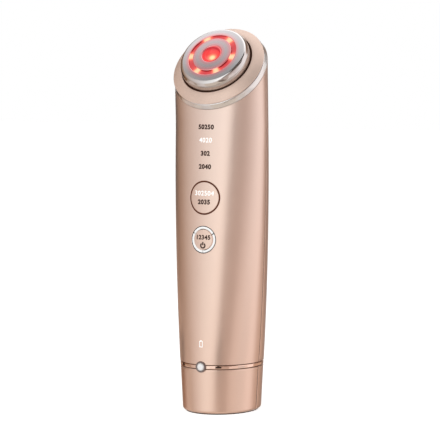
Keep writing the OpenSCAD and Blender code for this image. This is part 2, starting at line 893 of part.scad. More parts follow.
module level_light_ring() {
    color([0.96, 0.96, 0.97]) difference() {
        intersection() {
            rod_y(level_ring_r, 0, level_z, -front_foot - 5, board_front);
            front_patch(level_z, level_ring_r, board_front + 1);
        }
        rod_y(level_r + slide_clear, 0, level_z, -front_foot - 5, board_front + 1);
    }
}

guide_w = 9;
guide_h = 2.2;
guide_leg = 1.5;
guide_bar_y = board_front - 2;

module mode_light_guide() {
    color([0.92, 0.93, 0.95]) {
        for (side = [-1, 1])
            translate([side * (guide_w + guide_leg) / 2, 0, 0])
                block(-guide_leg / 2, guide_leg / 2, guide_bar_y - 1, board_front,
                      mark_z(mark_count - 1) - guide_h / 2, mark_z(0) + guide_h / 2);
        for (i = [0:mark_count - 1]) {
            front = front_y(guide_w / 2, mark_z(i) + guide_h / 2, wall) + 0.3;
            block(-guide_w / 2, guide_w / 2, front, guide_bar_y,
                  mark_z(i) - guide_h / 2, mark_z(i) + guide_h / 2);
        }
    }
}

charge_guide_r = 1.8;

module charge_light_guide() {
    front = front_y(charge_guide_r, charge_z + charge_guide_r, wall) + 0.3;
    color([0.92, 0.93, 0.95]) difference() {
        union() {
            rod_y(charge_guide_r, 0, charge_z, front, board_front);
            rod_y(charge_guide_r + 1, 0, charge_z, board_front - 1.4, board_front);
        }
        rod_y(charge_guide_r - 0.3, 0, charge_z, board_front - 1.2, board_front + 1);
    }
}

indicator_t = 0.8;

module indicator_leds() {
    color([0.98, 0.96, 0.85]) {
        for (z = concat([for (i = [0:mark_count - 1]) mark_z(i)], [charge_z]))
            block(-0.8, 0.8, board_front - indicator_t, board_front, z - 0.6, z + 0.6);
    }
}

battery_nub_r = 2.6;
battery_nub = 1;

module battery_cell() {
    color([0.30, 0.45, 0.62]) translate([0, battery_y, battery_z0]) {
        cylinder(r = battery_r, h = battery_len - battery_nub);
        cylinder(r = battery_nub_r, h = battery_len);
    }
}

module battery_contacts() {
    color(steel) {
        block(-contact_w / 2, contact_w / 2, spine_back, battery_y + contact_w / 2,
              battery_z0 - contact_t, battery_z0);
        block(-contact_w / 2, contact_w / 2, spine_back, battery_y + contact_w / 2,
              battery_z1, battery_z1 + contact_t);
        block(-contact_w / 2, contact_w / 2, spine_back, spine_back + contact_t,
              battery_z1 + contact_t / 2, battery_z1 + contact_tab);
    }
}

module vibration_motor() {
    color(steel) translate([motor_x0, motor_y, motor_z]) rotate([0, 90, 0]) difference() {
        cylinder(r = motor_r, h = motor_len);
        translate([0, 0, motor_len - shaft_in - 1]) cylinder(r = shaft_r + clear, h = shaft_in + 2);
    }
}

module motor_shaft() {
    color(steel) translate([motor_x1 - shaft_in, motor_y, motor_z]) rotate([0, 90, 0])
        cylinder(r = shaft_r, h = weight_x0 + weight_len - motor_x1 + shaft_in);
}

module eccentric_weight() {
    color(copper) translate([weight_x0, motor_y, motor_z]) rotate([0, 90, 0]) difference() {
        cylinder(r = weight_r, h = weight_len);
        translate([-2 * weight_r, -1.2 - 2 * weight_r, -1])
            cube([4 * weight_r, 2 * weight_r, weight_len + 2]);
        translate([0, 0, -1]) cylinder(r = shaft_r + 0.01, h = weight_len + 2);
    }
}

// Metal plate on the back that the palm touches
plate_half_angle = 42;
hand_plate_t = 0.7;

module hand_electrode() {
    step = 180 / side_steps;
    reach = floor(plate_half_angle / step);
    list = [for (k = [-reach:reach]) 90 + k * step];
    color(silver) sheet(body_wall(list, -hand_plate_t, 2, body_rows + 1),
                        body_wall(list, 0, 2, body_rows + 1));
}

module case_screws() {
    color(steel) for (z = [low_screw_z, high_screw_z]) {
        rod_y(screw_r, 0, z, spine_front - case_reach, spine_back + case_seat);
        rod_y(screw_head_r, 0, z, spine_back + case_seat, spine_back + case_seat + screw_head_t);
    }
}

module base_screws() {
    color(steel) for (x = [-pillar_x, pillar_x])
        translate([x, spine_t / 2, pad_top]) {
            cylinder(r = screw_r, h = base_screw_len);
            cylinder(r = screw_head_r, h = base_head_t);
        }
}

front_shell();
rear_shell();
base_front_cover();
base_rear_cover();
base_plate();
foot_pad();
charge_contacts();
trim_band();
jewel_setting();
jewel();
head_rim();
head_bezel();
head_seal();
outer_electrode();
inner_electrode();
light_ring();
centre_lens();
electrode_carrier();
led_board();
led_chips();
electrode_contacts();
cooling_module();
heat_sink();
head_plate();
head_screws();
neck_screws();
inner_frame();
main_board();
board_screws();
board_chips();
mode_button_cap();
mode_switch();
mode_switch_plunger();
level_button_cap();
level_light_ring();
level_switch();
level_switch_plunger();
mode_light_guide();
charge_light_guide();
indicator_leds();
battery_cell();
battery_contacts();
vibration_motor();
motor_shaft();
eccentric_weight();
hand_electrode();
case_screws();
base_screws();
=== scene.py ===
import math

import bpy
from mathutils import Matrix, Vector


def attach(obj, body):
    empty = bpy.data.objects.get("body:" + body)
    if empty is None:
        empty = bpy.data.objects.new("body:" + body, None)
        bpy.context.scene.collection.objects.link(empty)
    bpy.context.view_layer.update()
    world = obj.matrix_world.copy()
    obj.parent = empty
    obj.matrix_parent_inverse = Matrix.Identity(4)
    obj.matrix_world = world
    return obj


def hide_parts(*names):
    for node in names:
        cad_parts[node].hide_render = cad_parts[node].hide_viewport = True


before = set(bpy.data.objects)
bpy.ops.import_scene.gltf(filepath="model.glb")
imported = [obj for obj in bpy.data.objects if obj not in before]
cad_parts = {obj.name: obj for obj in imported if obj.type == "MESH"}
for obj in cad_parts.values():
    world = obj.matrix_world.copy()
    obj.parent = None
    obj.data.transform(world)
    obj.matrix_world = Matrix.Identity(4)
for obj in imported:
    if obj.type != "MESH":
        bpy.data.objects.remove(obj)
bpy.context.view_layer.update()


# Inner frame, head plate, electrode carrier and base plate
# Ivory plastic mouldings inside the shells, which carry the boards, the battery and the head.
# Their solids stay as they are, and show only a fine moulded grain.
CLOUDS_PER_METRE = 70
GRAIN_DEPTH = 0.00003


def new_group(name, colours, inputs, outputs):
    group = bpy.data.node_groups.new(name, "ShaderNodeTree")
    for direction, sockets in (("INPUT", inputs), ("OUTPUT", outputs)):
        for socket in sockets:
            kind = "NodeSocketColor" if socket in colours else "NodeSocketFloat"
            group.interface.new_socket(socket, in_out=direction, socket_type=kind)
    given = group.nodes.new("NodeGroupInput")
    made = group.nodes.new("NodeGroupOutput")
    return group, given.outputs, made.inputs


# A value is a plain number or colour, or the output of another node
def feed(tree, value, socket):
    if isinstance(value, bpy.types.NodeSocket):
        tree.links.new(value, socket)
    else:
        socket.default_value = value


def reckoned(tree, operation, *terms):
    node = tree.nodes.new("ShaderNodeMath")
    node.operation = operation
    for term, socket in zip(terms, node.inputs):
        feed(tree, term, socket)
    return node.outputs["Value"]


def make_fine_grain():
    inputs = ("Colour", "Grains per metre", "Colour change", "Roughness", "Roughness change")
    group, given, made = new_group("fine_grain", ("Colour",), inputs, ("Colour", "Roughness", "Height"))
    links = group.links
    place = group.nodes.new("ShaderNodeTexCoord")
    specks = group.nodes.new("ShaderNodeTexNoise")
    specks.inputs["Detail"].default_value = 2
    links.new(place.outputs["Object"], specks.inputs["Vector"])
    links.new(given["Grains per metre"], specks.inputs["Scale"])
    clouds = group.nodes.new("ShaderNodeTexNoise")
    clouds.inputs["Scale"].default_value = CLOUDS_PER_METRE
    links.new(place.outputs["Object"], clouds.inputs["Vector"])
    both = reckoned(group, "ADD", specks.outputs["Fac"], clouds.outputs["Fac"])
    swing = reckoned(group, "SUBTRACT", both, 1)
    tint = group.nodes.new("ShaderNodeHueSaturation")
    links.new(reckoned(group, "MULTIPLY_ADD", swing, given["Colour change"], 1), tint.inputs["Value"])
    links.new(given["Colour"], tint.inputs["Color"])
    links.new(tint.outputs["Color"], made["Colour"])
    shine = reckoned(group, "MULTIPLY_ADD", swing, given["Roughness change"], given["Roughness"])
    links.new(shine, made["Roughness"])
    links.new(specks.outputs["Fac"], made["Height"])
    return group


fine_grain = make_fine_grain()


# Tint and shine are how far the grain changes the colour and the roughness
def grained(name, colour, rough, grains, tint, shine, bump, metal=0):
    material = bpy.data.materials.new(name)
    material.use_nodes = True
    nodes = material.node_tree.nodes
    links = material.node_tree.links
    shader = nodes["Principled BSDF"].inputs
    shader["Metallic"].default_value = metal
    grain = nodes.new("ShaderNodeGroup")
    grain.name = "grain"
    grain.node_tree = fine_grain
    grain.inputs["Colour"].default_value = (*colour, 1)
    grain.inputs["Grains per metre"].default_value = grains
    grain.inputs["Colour change"].default_value = tint
    grain.inputs["Roughness"].default_value = rough
    grain.inputs["Roughness change"].default_value = shine
    links.new(grain.outputs["Colour"], shader["Base Color"])
    links.new(grain.outputs["Roughness"], shader["Roughness"])
    lift = nodes.new("ShaderNodeBump")
    lift.name = "lift"
    lift.inputs["Strength"].default_value = bump
    lift.inputs["Distance"].default_value = GRAIN_DEPTH
    links.new(grain.outputs["Height"], lift.inputs["Height"])
    links.new(lift.outputs["Normal"], shader["Normal"])
    return material


def dress(material, *nodes):
    for node in nodes:
        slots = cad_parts[node].data.materials
        for index in range(len(slots)):
            slots[index] = material


ivory_plastic = grained("ivory_plastic", (0.80, 0.75, 0.66), rough=0.5,
                        grains=2600, tint=0.06, shine=0.15, bump=0.25)
dress(ivory_plastic, "inner_frame", "head_plate", "electrode_carrier", "base_plate")


# Main board and lamp board, with their packages, switches and lamps
# Green laminate with pale tracks under the lacquer, screwed to the inner frame; the packages
# and switches are moulded black, the plungers white, and the lamps are small pale chips.
BLACK = (0, 0, 0, 1)
WHITE = (1, 1, 1, 1)
TRACK_GREEN = (0.07, 0.30, 0.12, 1)


def set_sockets(sockets, values):
    for name, value in values.items():
        sockets[name].default_value = value


def set_shader(material, values):
    set_sockets(material.node_tree.nodes["Principled BSDF"].inputs, values)


def turned_place(tree, turn):
    place = tree.nodes.new("ShaderNodeTexCoord")
    mapping = tree.nodes.new("ShaderNodeMapping")
    mapping.inputs["Rotation"].default_value = turn
    tree.links.new(place.outputs["Object"], mapping.inputs["Vector"])
    return mapping.outputs["Vector"]


def mixed(tree, share, first, second, blend="MIX"):
    node = tree.nodes.new("ShaderNodeMix")
    node.data_type = "RGBA"
    node.blend_type = blend
    for socket, value in (("Factor", share), ("A", first), ("B", second)):
        feed(tree, value, node.inputs[socket])
    return node.outputs["Result"]


circuit_board = grained("circuit_board", (0.02, 0.13, 0.06), rough=0.35,
                        grains=900, tint=0.2, shine=0.2, bump=0.1)
board_tree = circuit_board.node_tree
tracks = board_tree.nodes.new("ShaderNodeTexBrick")
track_lines = {"Color1": BLACK, "Color2": BLACK, "Mortar": WHITE, "Scale": 220, "Mortar Size": 0.03}
set_sockets(tracks.inputs, track_lines)
board_turn = (math.radians(90), 0, math.radians(45))
board_tree.links.new(turned_place(board_tree, board_turn), tracks.inputs["Vector"])
laminate = board_tree.nodes["grain"].outputs["Colour"]
board_colour = mixed(board_tree, tracks.outputs["Color"], laminate, TRACK_GREEN)
board_tree.links.new(board_colour, board_tree.nodes["Principled BSDF"].inputs["Base Color"])
dress(circuit_board, "main_board", "led_board")
black_plastic = grained("black_plastic", (0.025, 0.025, 0.027), rough=0.42,
                        grains=3200, tint=0.25, shine=0.2, bump=0.3)
dress(black_plastic, "board_chips", "mode_switch", "level_switch")
white_plastic = grained("white_plastic", (0.82, 0.81, 0.78), rough=0.4,
                        grains=2600, tint=0.05, shine=0.15, bump=0.2)
dress(white_plastic, "mode_switch_plunger", "level_switch_plunger")
lamp_chip = grained("lamp_chip", (0.85, 0.80, 0.55), rough=0.2, grains=2000, tint=0.1, shine=0.1, bump=0.1)
dress(lamp_chip, "led_chips", "indicator_leds")
light_guide = grained("light_guide", (0.86, 0.88, 0.88), rough=0.12,
                      grains=1500, tint=0.05, shine=0.08, bump=0.05)
set_shader(light_guide, {"Transmission Weight": 0.6})
dress(light_guide, "mode_light_guide", "charge_light_guide")


# Battery cell, vibration motor and eccentric weight
# A wrapped round cell between two spring strips behind the frame, and above it a small can motor
# whose shaft carries a half-round weight of sintered metal.
battery_wrap = grained("battery_wrap", (0.05, 0.22, 0.42), rough=0.3,
                       grains=800, tint=0.12, shine=0.15, bump=0.1)
dress(battery_wrap, "battery_cell")
steel = grained("steel", (0.60, 0.60, 0.61), rough=0.3, grains=1800, tint=0.08, shine=0.2, bump=0.15, metal=1)
dress(steel, "battery_contacts", "vibration_motor", "motor_shaft")
weight_metal = grained("weight_metal", (0.42, 0.40, 0.38), rough=0.45,
                       grains=2400, tint=0.15, shine=0.2, bump=0.35, metal=1)
dress(weight_metal, "eccentric_weight")


# Screws
# Plain steel self-tapping screws that hold the casing, the boards, the head and the base plate.
# Those of the casing go in from behind and those of the base from below, so none shows in front.
dress(steel, "case_screws", "board_screws", "head_screws", "neck_screws", "base_screws")


# Cooling module, heat sink and electrode pins
# A white ceramic cooling element sits behind the lamp board, with a finned aluminium sink on it;
# gold-plated spring pins carry the current to the two electrodes.
ceramic = grained("ceramic", (0.84, 0.83, 0.79), rough=0.35, grains=1500, tint=0.05, shine=0.1, bump=0.15)
dress(ceramic, "cooling_module")
sink_aluminium = grained("sink_aluminium", (0.70, 0.71, 0.72), rough=0.38,
                         grains=1600, tint=0.08, shine=0.2, bump=0.25, metal=1)
dress(sink_aluminium, "heat_sink")
contact_gold = grained("contact_gold", (0.86, 0.62, 0.28), rough=0.2,
                       grains=1800, tint=0.06, shine=0.12, bump=0.1, metal=1)
dress(contact_gold, "electrode_contacts", "charge_contacts")


# Foot pad
# A soft rubber pad glued into the base plate, with two holes through which the charging
# contacts look out.
dark_rubber = grained("dark_rubber", (0.030, 0.022, 0.019), rough=0.72,
                      grains=3500, tint=0.3, shine=0.2, bump=0.6)
dress(dark_rubber, "foot_pad")


# Front and rear shells
# Two injection-moulded half shells sprayed in a satin rose metallic, screwed together over the frame.
# They meet in a fine parting line down both sides; the front one has holes for the two buttons.
MM = 0.001
BAND_TOP = 26.2
WIDEST = 141
NECK = 151
BAND_HALF = 21.5
BAND_FRONT = 24.1
BAND_REAR = 23.4
HALF_GAIN = 4.3
FRONT_LOSS = 5.9
REAR_LOSS = 8.2
WIDTH_CURVE = 1.9
DEPTH_CURVE = 1.4
FACE_TILT = math.radians(50)
FACE_CENTRE = (0, -11.6, 186.2)
TOP_RADIUS = 25.8
TOP_DEPTH = 13.3
SHELL_WALL = 1.8
SHELL_GAP = 0.8
MODE_Z = 112.6
LEVEL_Z = 91.0
MODE_HOLE = 8.78
LEVEL_HOLE = 7.1


def rise_to(top, z):
    return min(max((z - BAND_TOP) / (top - BAND_TOP), 0), 1)


def half_width(z):
    return BAND_HALF + HALF_GAIN * (1 - (1 - rise_to(WIDEST, z)) ** WIDTH_CURVE)


def front_depth(z):
    return BAND_FRONT - FRONT_LOSS * rise_to(NECK, z) ** DEPTH_CURVE


def rear_depth(z):
    return BAND_REAR - REAR_LOSS * rise_to(NECK, z) ** DEPTH_CURVE


def front_y(x, z):
    across = min(abs(x) / half_width(z), 1)
    return -front_depth(z) * math.sqrt(1 - across * across)


def egg(half, front, rear, angle):
    depth = math.sin(angle)
    return half * math.cos(angle), (front if depth < 0 else rear) * depth


def head_point(angle, radius, depth):
    out = radius * math.sin(angle)
    y = FACE_CENTRE[1] + out * math.cos(FACE_TILT) + depth * math.sin(FACE_TILT)
    z = FACE_CENTRE[2] + out * math.sin(FACE_TILT) - depth * math.cos(FACE_TILT)
    return radius * math.cos(angle), y, z


# Above the neck a point climbs from the upright body to the tilted head, by a share from 0 to 1
def shell_point(angle, z, climb):
    x, y = egg(half_width(z), front_depth(z), rear_depth(z), angle)
    if climb <= 0:
        return x, y, z
    top_x, top_y, top_z = head_point(angle, TOP_RADIUS, TOP_DEPTH)
    return x + (top_x - x) * climb, y + (top_y - y) * climb, z + (top_z - z) * climb


def spread(start, end, count):
    return [start + (end - start) * step / count for step in range(count)]


# A loft is a grid whose points go where the place function puts each column and row
def loft(name, columns, rows, place):
    bpy.ops.object.select_all(action="DESELECT")
    bpy.ops.mesh.primitive_grid_add(x_subdivisions=columns, y_subdivisions=rows, size=1)
    sheet = bpy.context.object
    sheet.name = name
    for point in sheet.data.vertices:
        column = round((point.co.x + 0.5) * columns)
        row = round((point.co.y + 0.5) * rows)
        point.co = Vector(place(column, row)) * MM
    return sheet


def select_none(kind):
    bpy.ops.object.mode_set(mode="EDIT")
    bpy.ops.mesh.select_mode(type=kind)
    bpy.ops.mesh.select_all(action="DESELECT")


def bevel_selected(size, segments):
    bpy.ops.object.mode_set(mode="EDIT")
    bpy.ops.mesh.bevel(offset=size * MM, segments=segments, affect="EDGES")
    bpy.ops.object.mode_set(mode="OBJECT")
    bpy.ops.object.shade_smooth_by_angle(angle=math.radians(38))


def soften_edges(piece, size, segments, sharpness=50, chosen=None):
    select_none("EDGE")
    bpy.ops.mesh.edges_select_sharp(sharpness=math.radians(sharpness))
    if chosen:
        bpy.ops.object.mode_set(mode="OBJECT")
        points = piece.data.vertices
        for edge in piece.data.edges:
            edge.select = edge.select and chosen(points[edge.vertices[0]].co / MM)
    bevel_selected(size, segments)


def give_wall(piece, thickness):
    wall = piece.modifiers.new("wall", "SOLIDIFY")
    wall.thickness = thickness * MM
    wall.offset = -1
    bpy.ops.object.modifier_apply(modifier="wall")


# Columns are close together across the button panel and wider round the sides
PANEL_SPACING = 0.56
PANEL_RADIUS = 25.4
PANEL_HALF = 22
SIDE_COLUMNS = 30
panel_columns = [270 + math.degrees(math.asin(step * PANEL_SPACING / PANEL_RADIUS))
                 for step in range(-PANEL_HALF, PANEL_HALF + 1)]
left_columns = spread(180 + SHELL_GAP, panel_columns[0], SIDE_COLUMNS)
right_columns = [540 - angle for angle in reversed(left_columns)]
front_columns = left_columns + panel_columns + right_columns
middle_column = SIDE_COLUMNS + PANEL_HALF

# Rows are close together beside the two button holes
LEVEL_REACH = 8.8
MODE_REACH = 11
LEVEL_HALF = 16
MODE_HALF = 22
SHELL_FOOT = BAND_TOP + 0.02
row_heights = [SHELL_FOOT, LEVEL_Z - LEVEL_REACH, LEVEL_Z + LEVEL_REACH]
row_heights += [MODE_Z - MODE_REACH, MODE_Z + MODE_REACH, NECK]
row_counts = [40, 2 * LEVEL_HALF, 3, 2 * MODE_HALF, 20]
front_rows = []
for low, high, count in zip(row_heights, row_heights[1:], row_counts):
    front_rows += [(z, 0) for z in spread(low, high, count)]
front_rows += [(NECK, climb) for climb in spread(0, 1, 14)] + [(NECK, 1)]
level_row = row_counts[0] + LEVEL_HALF
mode_row = sum(row_counts[:3]) + MODE_HALF

# Squares of points round each hole close in on the round edge of that hole:
# (height, radius, middle row, steps to the first square, steps to the last square)
holes = [(MODE_Z, MODE_HOLE, mode_row, 10, MODE_HALF), (LEVEL_Z, LEVEL_HOLE, level_row, 8, LEVEL_HALF)]


def drawn_to_holes(x, z, column, row):
    along = column - middle_column
    for hole_z, radius, hole_row, inner, outer in holes:
        up = row - hole_row
        steps = max(abs(along), abs(up))
        if steps < inner or steps >= outer:
            continue
        if abs(along) >= abs(up):
            turn = math.radians(45) * up / along + (0 if along > 0 else math.pi)
        else:
            turn = math.radians(90) - math.radians(45) * along / up + (0 if up > 0 else math.pi)
        far = (steps - inner) / (outer - inner)
        stretch = outer / steps
        round_x = radius * math.cos(turn)
        round_z = radius * math.sin(turn)
        x = round_x + (x * stretch - round_x) * far
        z = hole_z + round_z + ((z - hole_z) * stretch - round_z) * far
    return x, z


def past_hole_edge(x, z):
    from_mode = math.hypot(x, z - MODE_Z) - MODE_HOLE
    from_level = math.hypot(x, z - LEVEL_Z) - LEVEL_HOLE
    return min(from_mode, from_level)


def front_shell_point(column, row):
    z, climb = front_rows[row]
    x, y, z = shell_point(math.radians(front_columns[column]), z, climb)
    if climb > 0:
        return x, y, z
    hole_x, hole_z = drawn_to_holes(x, z, column, row)
    if (hole_x, hole_z) != (x, z):
        y = front_y(hole_x, hole_z)
    return hole_x, y, hole_z


body_front = loft("body_front", len(front_columns) - 1, len(front_rows) - 1, front_shell_point)
select_none("FACE")
bpy.ops.object.mode_set(mode="OBJECT")
for face in body_front.data.polygons:
    face.select = past_hole_edge(face.center.x / MM, face.center.z / MM) < -0.1
bpy.ops.object.mode_set(mode="EDIT")
bpy.ops.mesh.delete(type="FACE")
bpy.ops.object.mode_set(mode="OBJECT")
give_wall(body_front, SHELL_WALL)
soften_edges(body_front, size=0.16, segments=3, chosen=lambda place: past_hole_edge(place.x, place.z) < 0.3)
soften_edges(body_front, size=0.1, segments=2)

rear_columns = spread(SHELL_GAP, 180 - SHELL_GAP, 90) + [180 - SHELL_GAP]
rear_rows = [(z, 0) for z in spread(SHELL_FOOT, NECK, 76)]
rear_rows += [(NECK, climb) for climb in spread(0, 1, 24)] + [(NECK, 1)]


def rear_shell_point(column, row):
    z, climb = rear_rows[row]
    return shell_point(math.radians(rear_columns[column]), z, climb)


body_rear = loft("body_rear", len(rear_columns) - 1, len(rear_rows) - 1, rear_shell_point)
give_wall(body_rear, SHELL_WALL)
soften_edges(body_rear, size=0.1, segments=2)


def parts_of(tree, place):
    parts = tree.nodes.new("ShaderNodeSeparateXYZ")
    tree.links.new(place, parts.inputs["Vector"])
    return parts.outputs


def share_of(tree, value, low, high):
    node = tree.nodes.new("ShaderNodeMapRange")
    node.inputs["From Min"].default_value = low
    node.inputs["From Max"].default_value = high
    tree.links.new(value, node.inputs["Value"])
    return node.outputs["Result"]


# Stops are (position from 0 to 1, colour), the lowest first
def blended(tree, share, stops):
    node = tree.nodes.new("ShaderNodeValToRGB")
    points = node.color_ramp.elements
    for point, (position, colour) in ((points[0], stops[0]), (points[1], stops[-1])):
        point.position = position
        point.color = (*colour, 1)
    for position, colour in stops[1:-1]:
        points.new(position).color = (*colour, 1)
    tree.links.new(share, node.inputs["Fac"])
    return node.outputs["Color"]


# The colour is a little redder towards the foot, as a painted warm reflection from below, and paler towards
# the head, as a painted highlight
rose_paint = grained("rose_paint", (0.89, 0.685, 0.578), rough=0.33,
                     grains=5200, tint=0.05, shine=0.06, bump=0.06, metal=0.85)
rose_tree = rose_paint.node_tree
rose_place = rose_tree.nodes.new("ShaderNodeTexCoord").outputs["Object"]
rose_rise = share_of(rose_tree, parts_of(rose_tree, rose_place)["Z"], 0, 0.2)
rose_painted_tint_stops = [(0.05, (0.90, 0.655, 0.530)), (0.38, (0.89, 0.675, 0.565)), (0.75, (0.885, 0.705, 0.615))]
rose_tree.links.new(blended(rose_tree, rose_rise, rose_painted_tint_stops), rose_tree.nodes["grain"].inputs["Colour"])
set_shader(rose_paint, {"Coat Weight": 0.25, "Coat Roughness": 0.28})
for shell, node in ((body_front, "front_shell"), (body_rear, "rear_shell")):
    shell.data.materials.append(rose_paint)
    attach(shell, "housing")
    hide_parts(node)

# A thin brown cord sunk in the parting line on each side darkens it as painted shade of the gap
CORD_SINK = 0.16
CORD_WALL = 0.8
CORD_COLUMNS = 3
CORD_START = -0.9
CORD_STEP = 0.6
parting_shade_brown = grained("parting_shade_brown", (0.15, 0.068, 0.046), rough=0.6,
                     grains=3500, tint=0.3, shine=0.2, bump=0.3)
cord_rows = [(z, 0) for z in spread(BAND_TOP + 0.1, NECK, 40)]
cord_rows += [(NECK, climb) for climb in spread(0, 0.99, 12)] + [(NECK, 0.99)]


def sunk(x, y, z):
    return x * (1 - CORD_SINK / abs(x)), y, z


def lay_cord(name, rows, place):
    cord = loft(name, CORD_COLUMNS, rows, place)
    give_wall(cord, CORD_WALL)
    cord.data.materials.append(parting_shade_brown)
    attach(cord, "housing")


for side, middle in (("right", 0), ("left", 180)):
    def body_cord_point(column, row):
        z, climb = cord_rows[row]
        return sunk(*shell_point(math.radians(middle + CORD_START + CORD_STEP * column), z, climb))

    lay_cord("body_cord_" + side, len(cord_rows) - 1, body_cord_point)


# Palm plate on the back
# A pressed plate of polished metal let into the rear shell, which closes the current through the
# hand; it stands a little proud of the paint, and its side edges flare out at the four corners.
PLATE_LOW = 44.1
PLATE_HIGH = 162.5
PLATE_HALF = 42
PLATE_CORNER = 6
PLATE_BEND = 21
PLATE_PROUD = 0.6
PLATE_WALL = 0.9
PLATE_COLUMNS = 40
PLATE_ROWS = 60


def plate_point(column, row):
    up = row / PLATE_ROWS
    half = math.radians(PLATE_HALF) * PLATE_BEND
    across = (2 * column / PLATE_COLUMNS - 1) * half
    along = up * (PLATE_HIGH - PLATE_LOW)
    from_end = min(along, PLATE_HIGH - PLATE_LOW - along)
    from_side = half - abs(across)
    if from_end < PLATE_CORNER and from_side < PLATE_CORNER:
        s = 1 - from_side / PLATE_CORNER
        t = 1 - from_end / PLATE_CORNER
        new_s = s * math.sqrt(1 - t * t / 2)
        new_t = t * math.sqrt(1 - s * s / 2)
        across += math.copysign((new_s - s) * PLATE_CORNER, across)
        along += (t - new_t) * PLATE_CORNER * (1 if up < 0.5 else -1)
    angle = math.radians(90) + across / PLATE_BEND
    z = PLATE_LOW + along
    top_z = head_point(angle, TOP_RADIUS, TOP_DEPTH)[2]
    climb = max((z - NECK) / (top_z - NECK), 0)
    x, y, z = shell_point(angle, min(z, NECK), climb)
    outward = 1 + PLATE_PROUD / math.hypot(x, y)
    return x * outward, y * outward, z


palm_plate = loft("palm_plate", PLATE_COLUMNS, PLATE_ROWS, plate_point)
give_wall(palm_plate, PLATE_WALL)
soften_edges(palm_plate, size=0.25, segments=3)
polished_silver = grained("polished_silver", (0.80, 0.79, 0.79), rough=0.14,
                          grains=700, tint=0.03, shine=0.06, bump=0.02, metal=1)
palm_plate.data.materials.append(polished_silver)
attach(palm_plate, "housing")
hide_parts("hand_electrode")


# Mode button
# A round painted cap that lies flush in the front shell and presses a switch behind it; a narrow
# groove round it holds a dark brown ring as painted shade, and two small marks are printed on it.
MODE_CAP = 8.0
CAP_DEPTH = 2.2
SEAM = 0.000001


def join_seams(fill_ends=False):
    bpy.ops.object.mode_set(mode="EDIT")
    bpy.ops.mesh.select_all(action="SELECT")
    bpy.ops.mesh.remove_doubles(threshold=SEAM)
    if fill_ends:
        bpy.ops.mesh.fill_holes(sides=0)
        bpy.ops.mesh.select_all(action="SELECT")
    bpy.ops.mesh.normals_make_consistent(inside=False)
    bpy.ops.object.mode_set(mode="OBJECT")


# A ring is (radius, height), and each next one is drawn out of the last
def turned(name, rings, steps):
    bpy.ops.object.select_all(action="DESELECT")
    radius, height = rings[0]
    bpy.ops.mesh.primitive_circle_add(vertices=steps, radius=radius * MM, location=(0, 0, height * MM))
    piece = bpy.context.object
    piece.name = name
    bpy.ops.object.transform_apply(location=True, rotation=False, scale=False)
    bpy.ops.object.mode_set(mode="EDIT")
    bpy.ops.mesh.select_mode(type="VERT")
    bpy.ops.mesh.select_all(action="SELECT")
    for next_radius, next_height in rings[1:]:
        lift = (0, 0, (next_height - height) * MM)
        bpy.ops.mesh.extrude_region_move(TRANSFORM_OT_translate={"value": lift})
        grow = next_radius / radius
        bpy.ops.transform.resize(value=(grow, grow, 1), center_override=(0, 0, 0))
        radius, height = next_radius, next_height
    join_seams()
    return piece


def round_ring(piece, radius, height, size, segments):
    select_none("EDGE")
    bpy.ops.object.mode_set(mode="OBJECT")
    near = 0.00002
    on_ring = []
    for point in piece.data.vertices:
        away = math.hypot(point.co.x, point.co.y) - radius * MM
        on_ring.append(abs(away) < near and abs(point.co.z - height * MM) < near)
    for edge in piece.data.edges:
        edge.select = on_ring[edge.vertices[0]] and on_ring[edge.vertices[1]]
    bevel_selected(size, segments)


def lay_on_front(piece, centre_z):
    for point in piece.data.vertices:
        x = point.co.x / MM
        z = centre_z + point.co.y / MM
        point.co = Vector((x, front_y(x, z) - point.co.z / MM, z)) * MM


def cap_rings(radius):
    rings = [(radius, -CAP_DEPTH), (radius, 0)]
    rings += [(radius * part, 0) for part in (0.93, 0.85, 0.72, 0.58, 0.44, 0.3, 0.16, 0.0)]
    return rings


mode_cap = turned("mode_cap", cap_rings(MODE_CAP), steps=96)
round_ring(mode_cap, MODE_CAP, 0, size=0.16, segments=3)
lay_on_front(mode_cap, MODE_Z)
mode_cap.data.materials.append(rose_paint)
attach(mode_cap, "mode_button")
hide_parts("mode_button_cap")

groove_edge = [(8.03, -1.2), (8.76, -1.2), (8.76, -0.2), (8.4, -0.26), (8.03, -0.2), (8.03, -1.2)]
mode_groove_shade = turned("mode_groove_shade", groove_edge, steps=96)
lay_on_front(mode_groove_shade, MODE_Z)
# The dark brown of the groove ring is painted shade
groove_shade_brown = grained("groove_shade_brown", (0.135, 0.040, 0.018), rough=0.6,
                       grains=3500, tint=0.3, shine=0.2, bump=0.3)
set_shader(groove_shade_brown, {"Specular IOR Level": 0.15})
mode_groove_shade.data.materials.append(groove_shade_brown)
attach(mode_groove_shade, "housing")


# Level button and its light ring
# A smaller painted cap inside a white light ring of three moulded lengths, split by thin walls;
# the ring glows evenly, sits in a thin near-black lining of painted shade and stays still when the cap is
# pressed.
LEVEL_CAP = 5.22
RING_START = 33
RING_SWEEP = 114
RING_STEPS = 40
level_cap = turned("level_cap", cap_rings(LEVEL_CAP), steps=72)
round_ring(level_cap, LEVEL_CAP, 0, size=0.2, segments=3)
lay_on_front(level_cap, LEVEL_Z)
level_cap.data.materials.append(rose_paint)
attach(level_cap, "level_button")
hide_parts("level_button_cap")

ring_white = grained("ring_white", (0.88, 0.88, 0.87), rough=0.3, grains=1500, tint=0.05, shine=0.1, bump=0.1)
set_shader(ring_white, {"Emission Color": WHITE, "Emission Strength": 0.28})
ring_edge = [(6.74, -1.8), (6.74, -0.24), (6.58, -0.06), (6.15, 0)]
ring_edge += [(5.72, -0.06), (5.58, -0.24), (5.58, -1.8), (6.74, -1.8)]


def ring_length_point(column, row):
    radius, height = ring_edge[row]
    angle = math.radians(RING_START + RING_SWEEP * column / RING_STEPS)
    return radius * math.cos(angle), radius * math.sin(angle), height


def turned_copy(piece, degrees):
    copy = piece.copy()
    copy.data = piece.data.copy()
    bpy.context.collection.objects.link(copy)
    copy.data.transform(Matrix.Rotation(math.radians(degrees), 4, "Z"))
    return copy


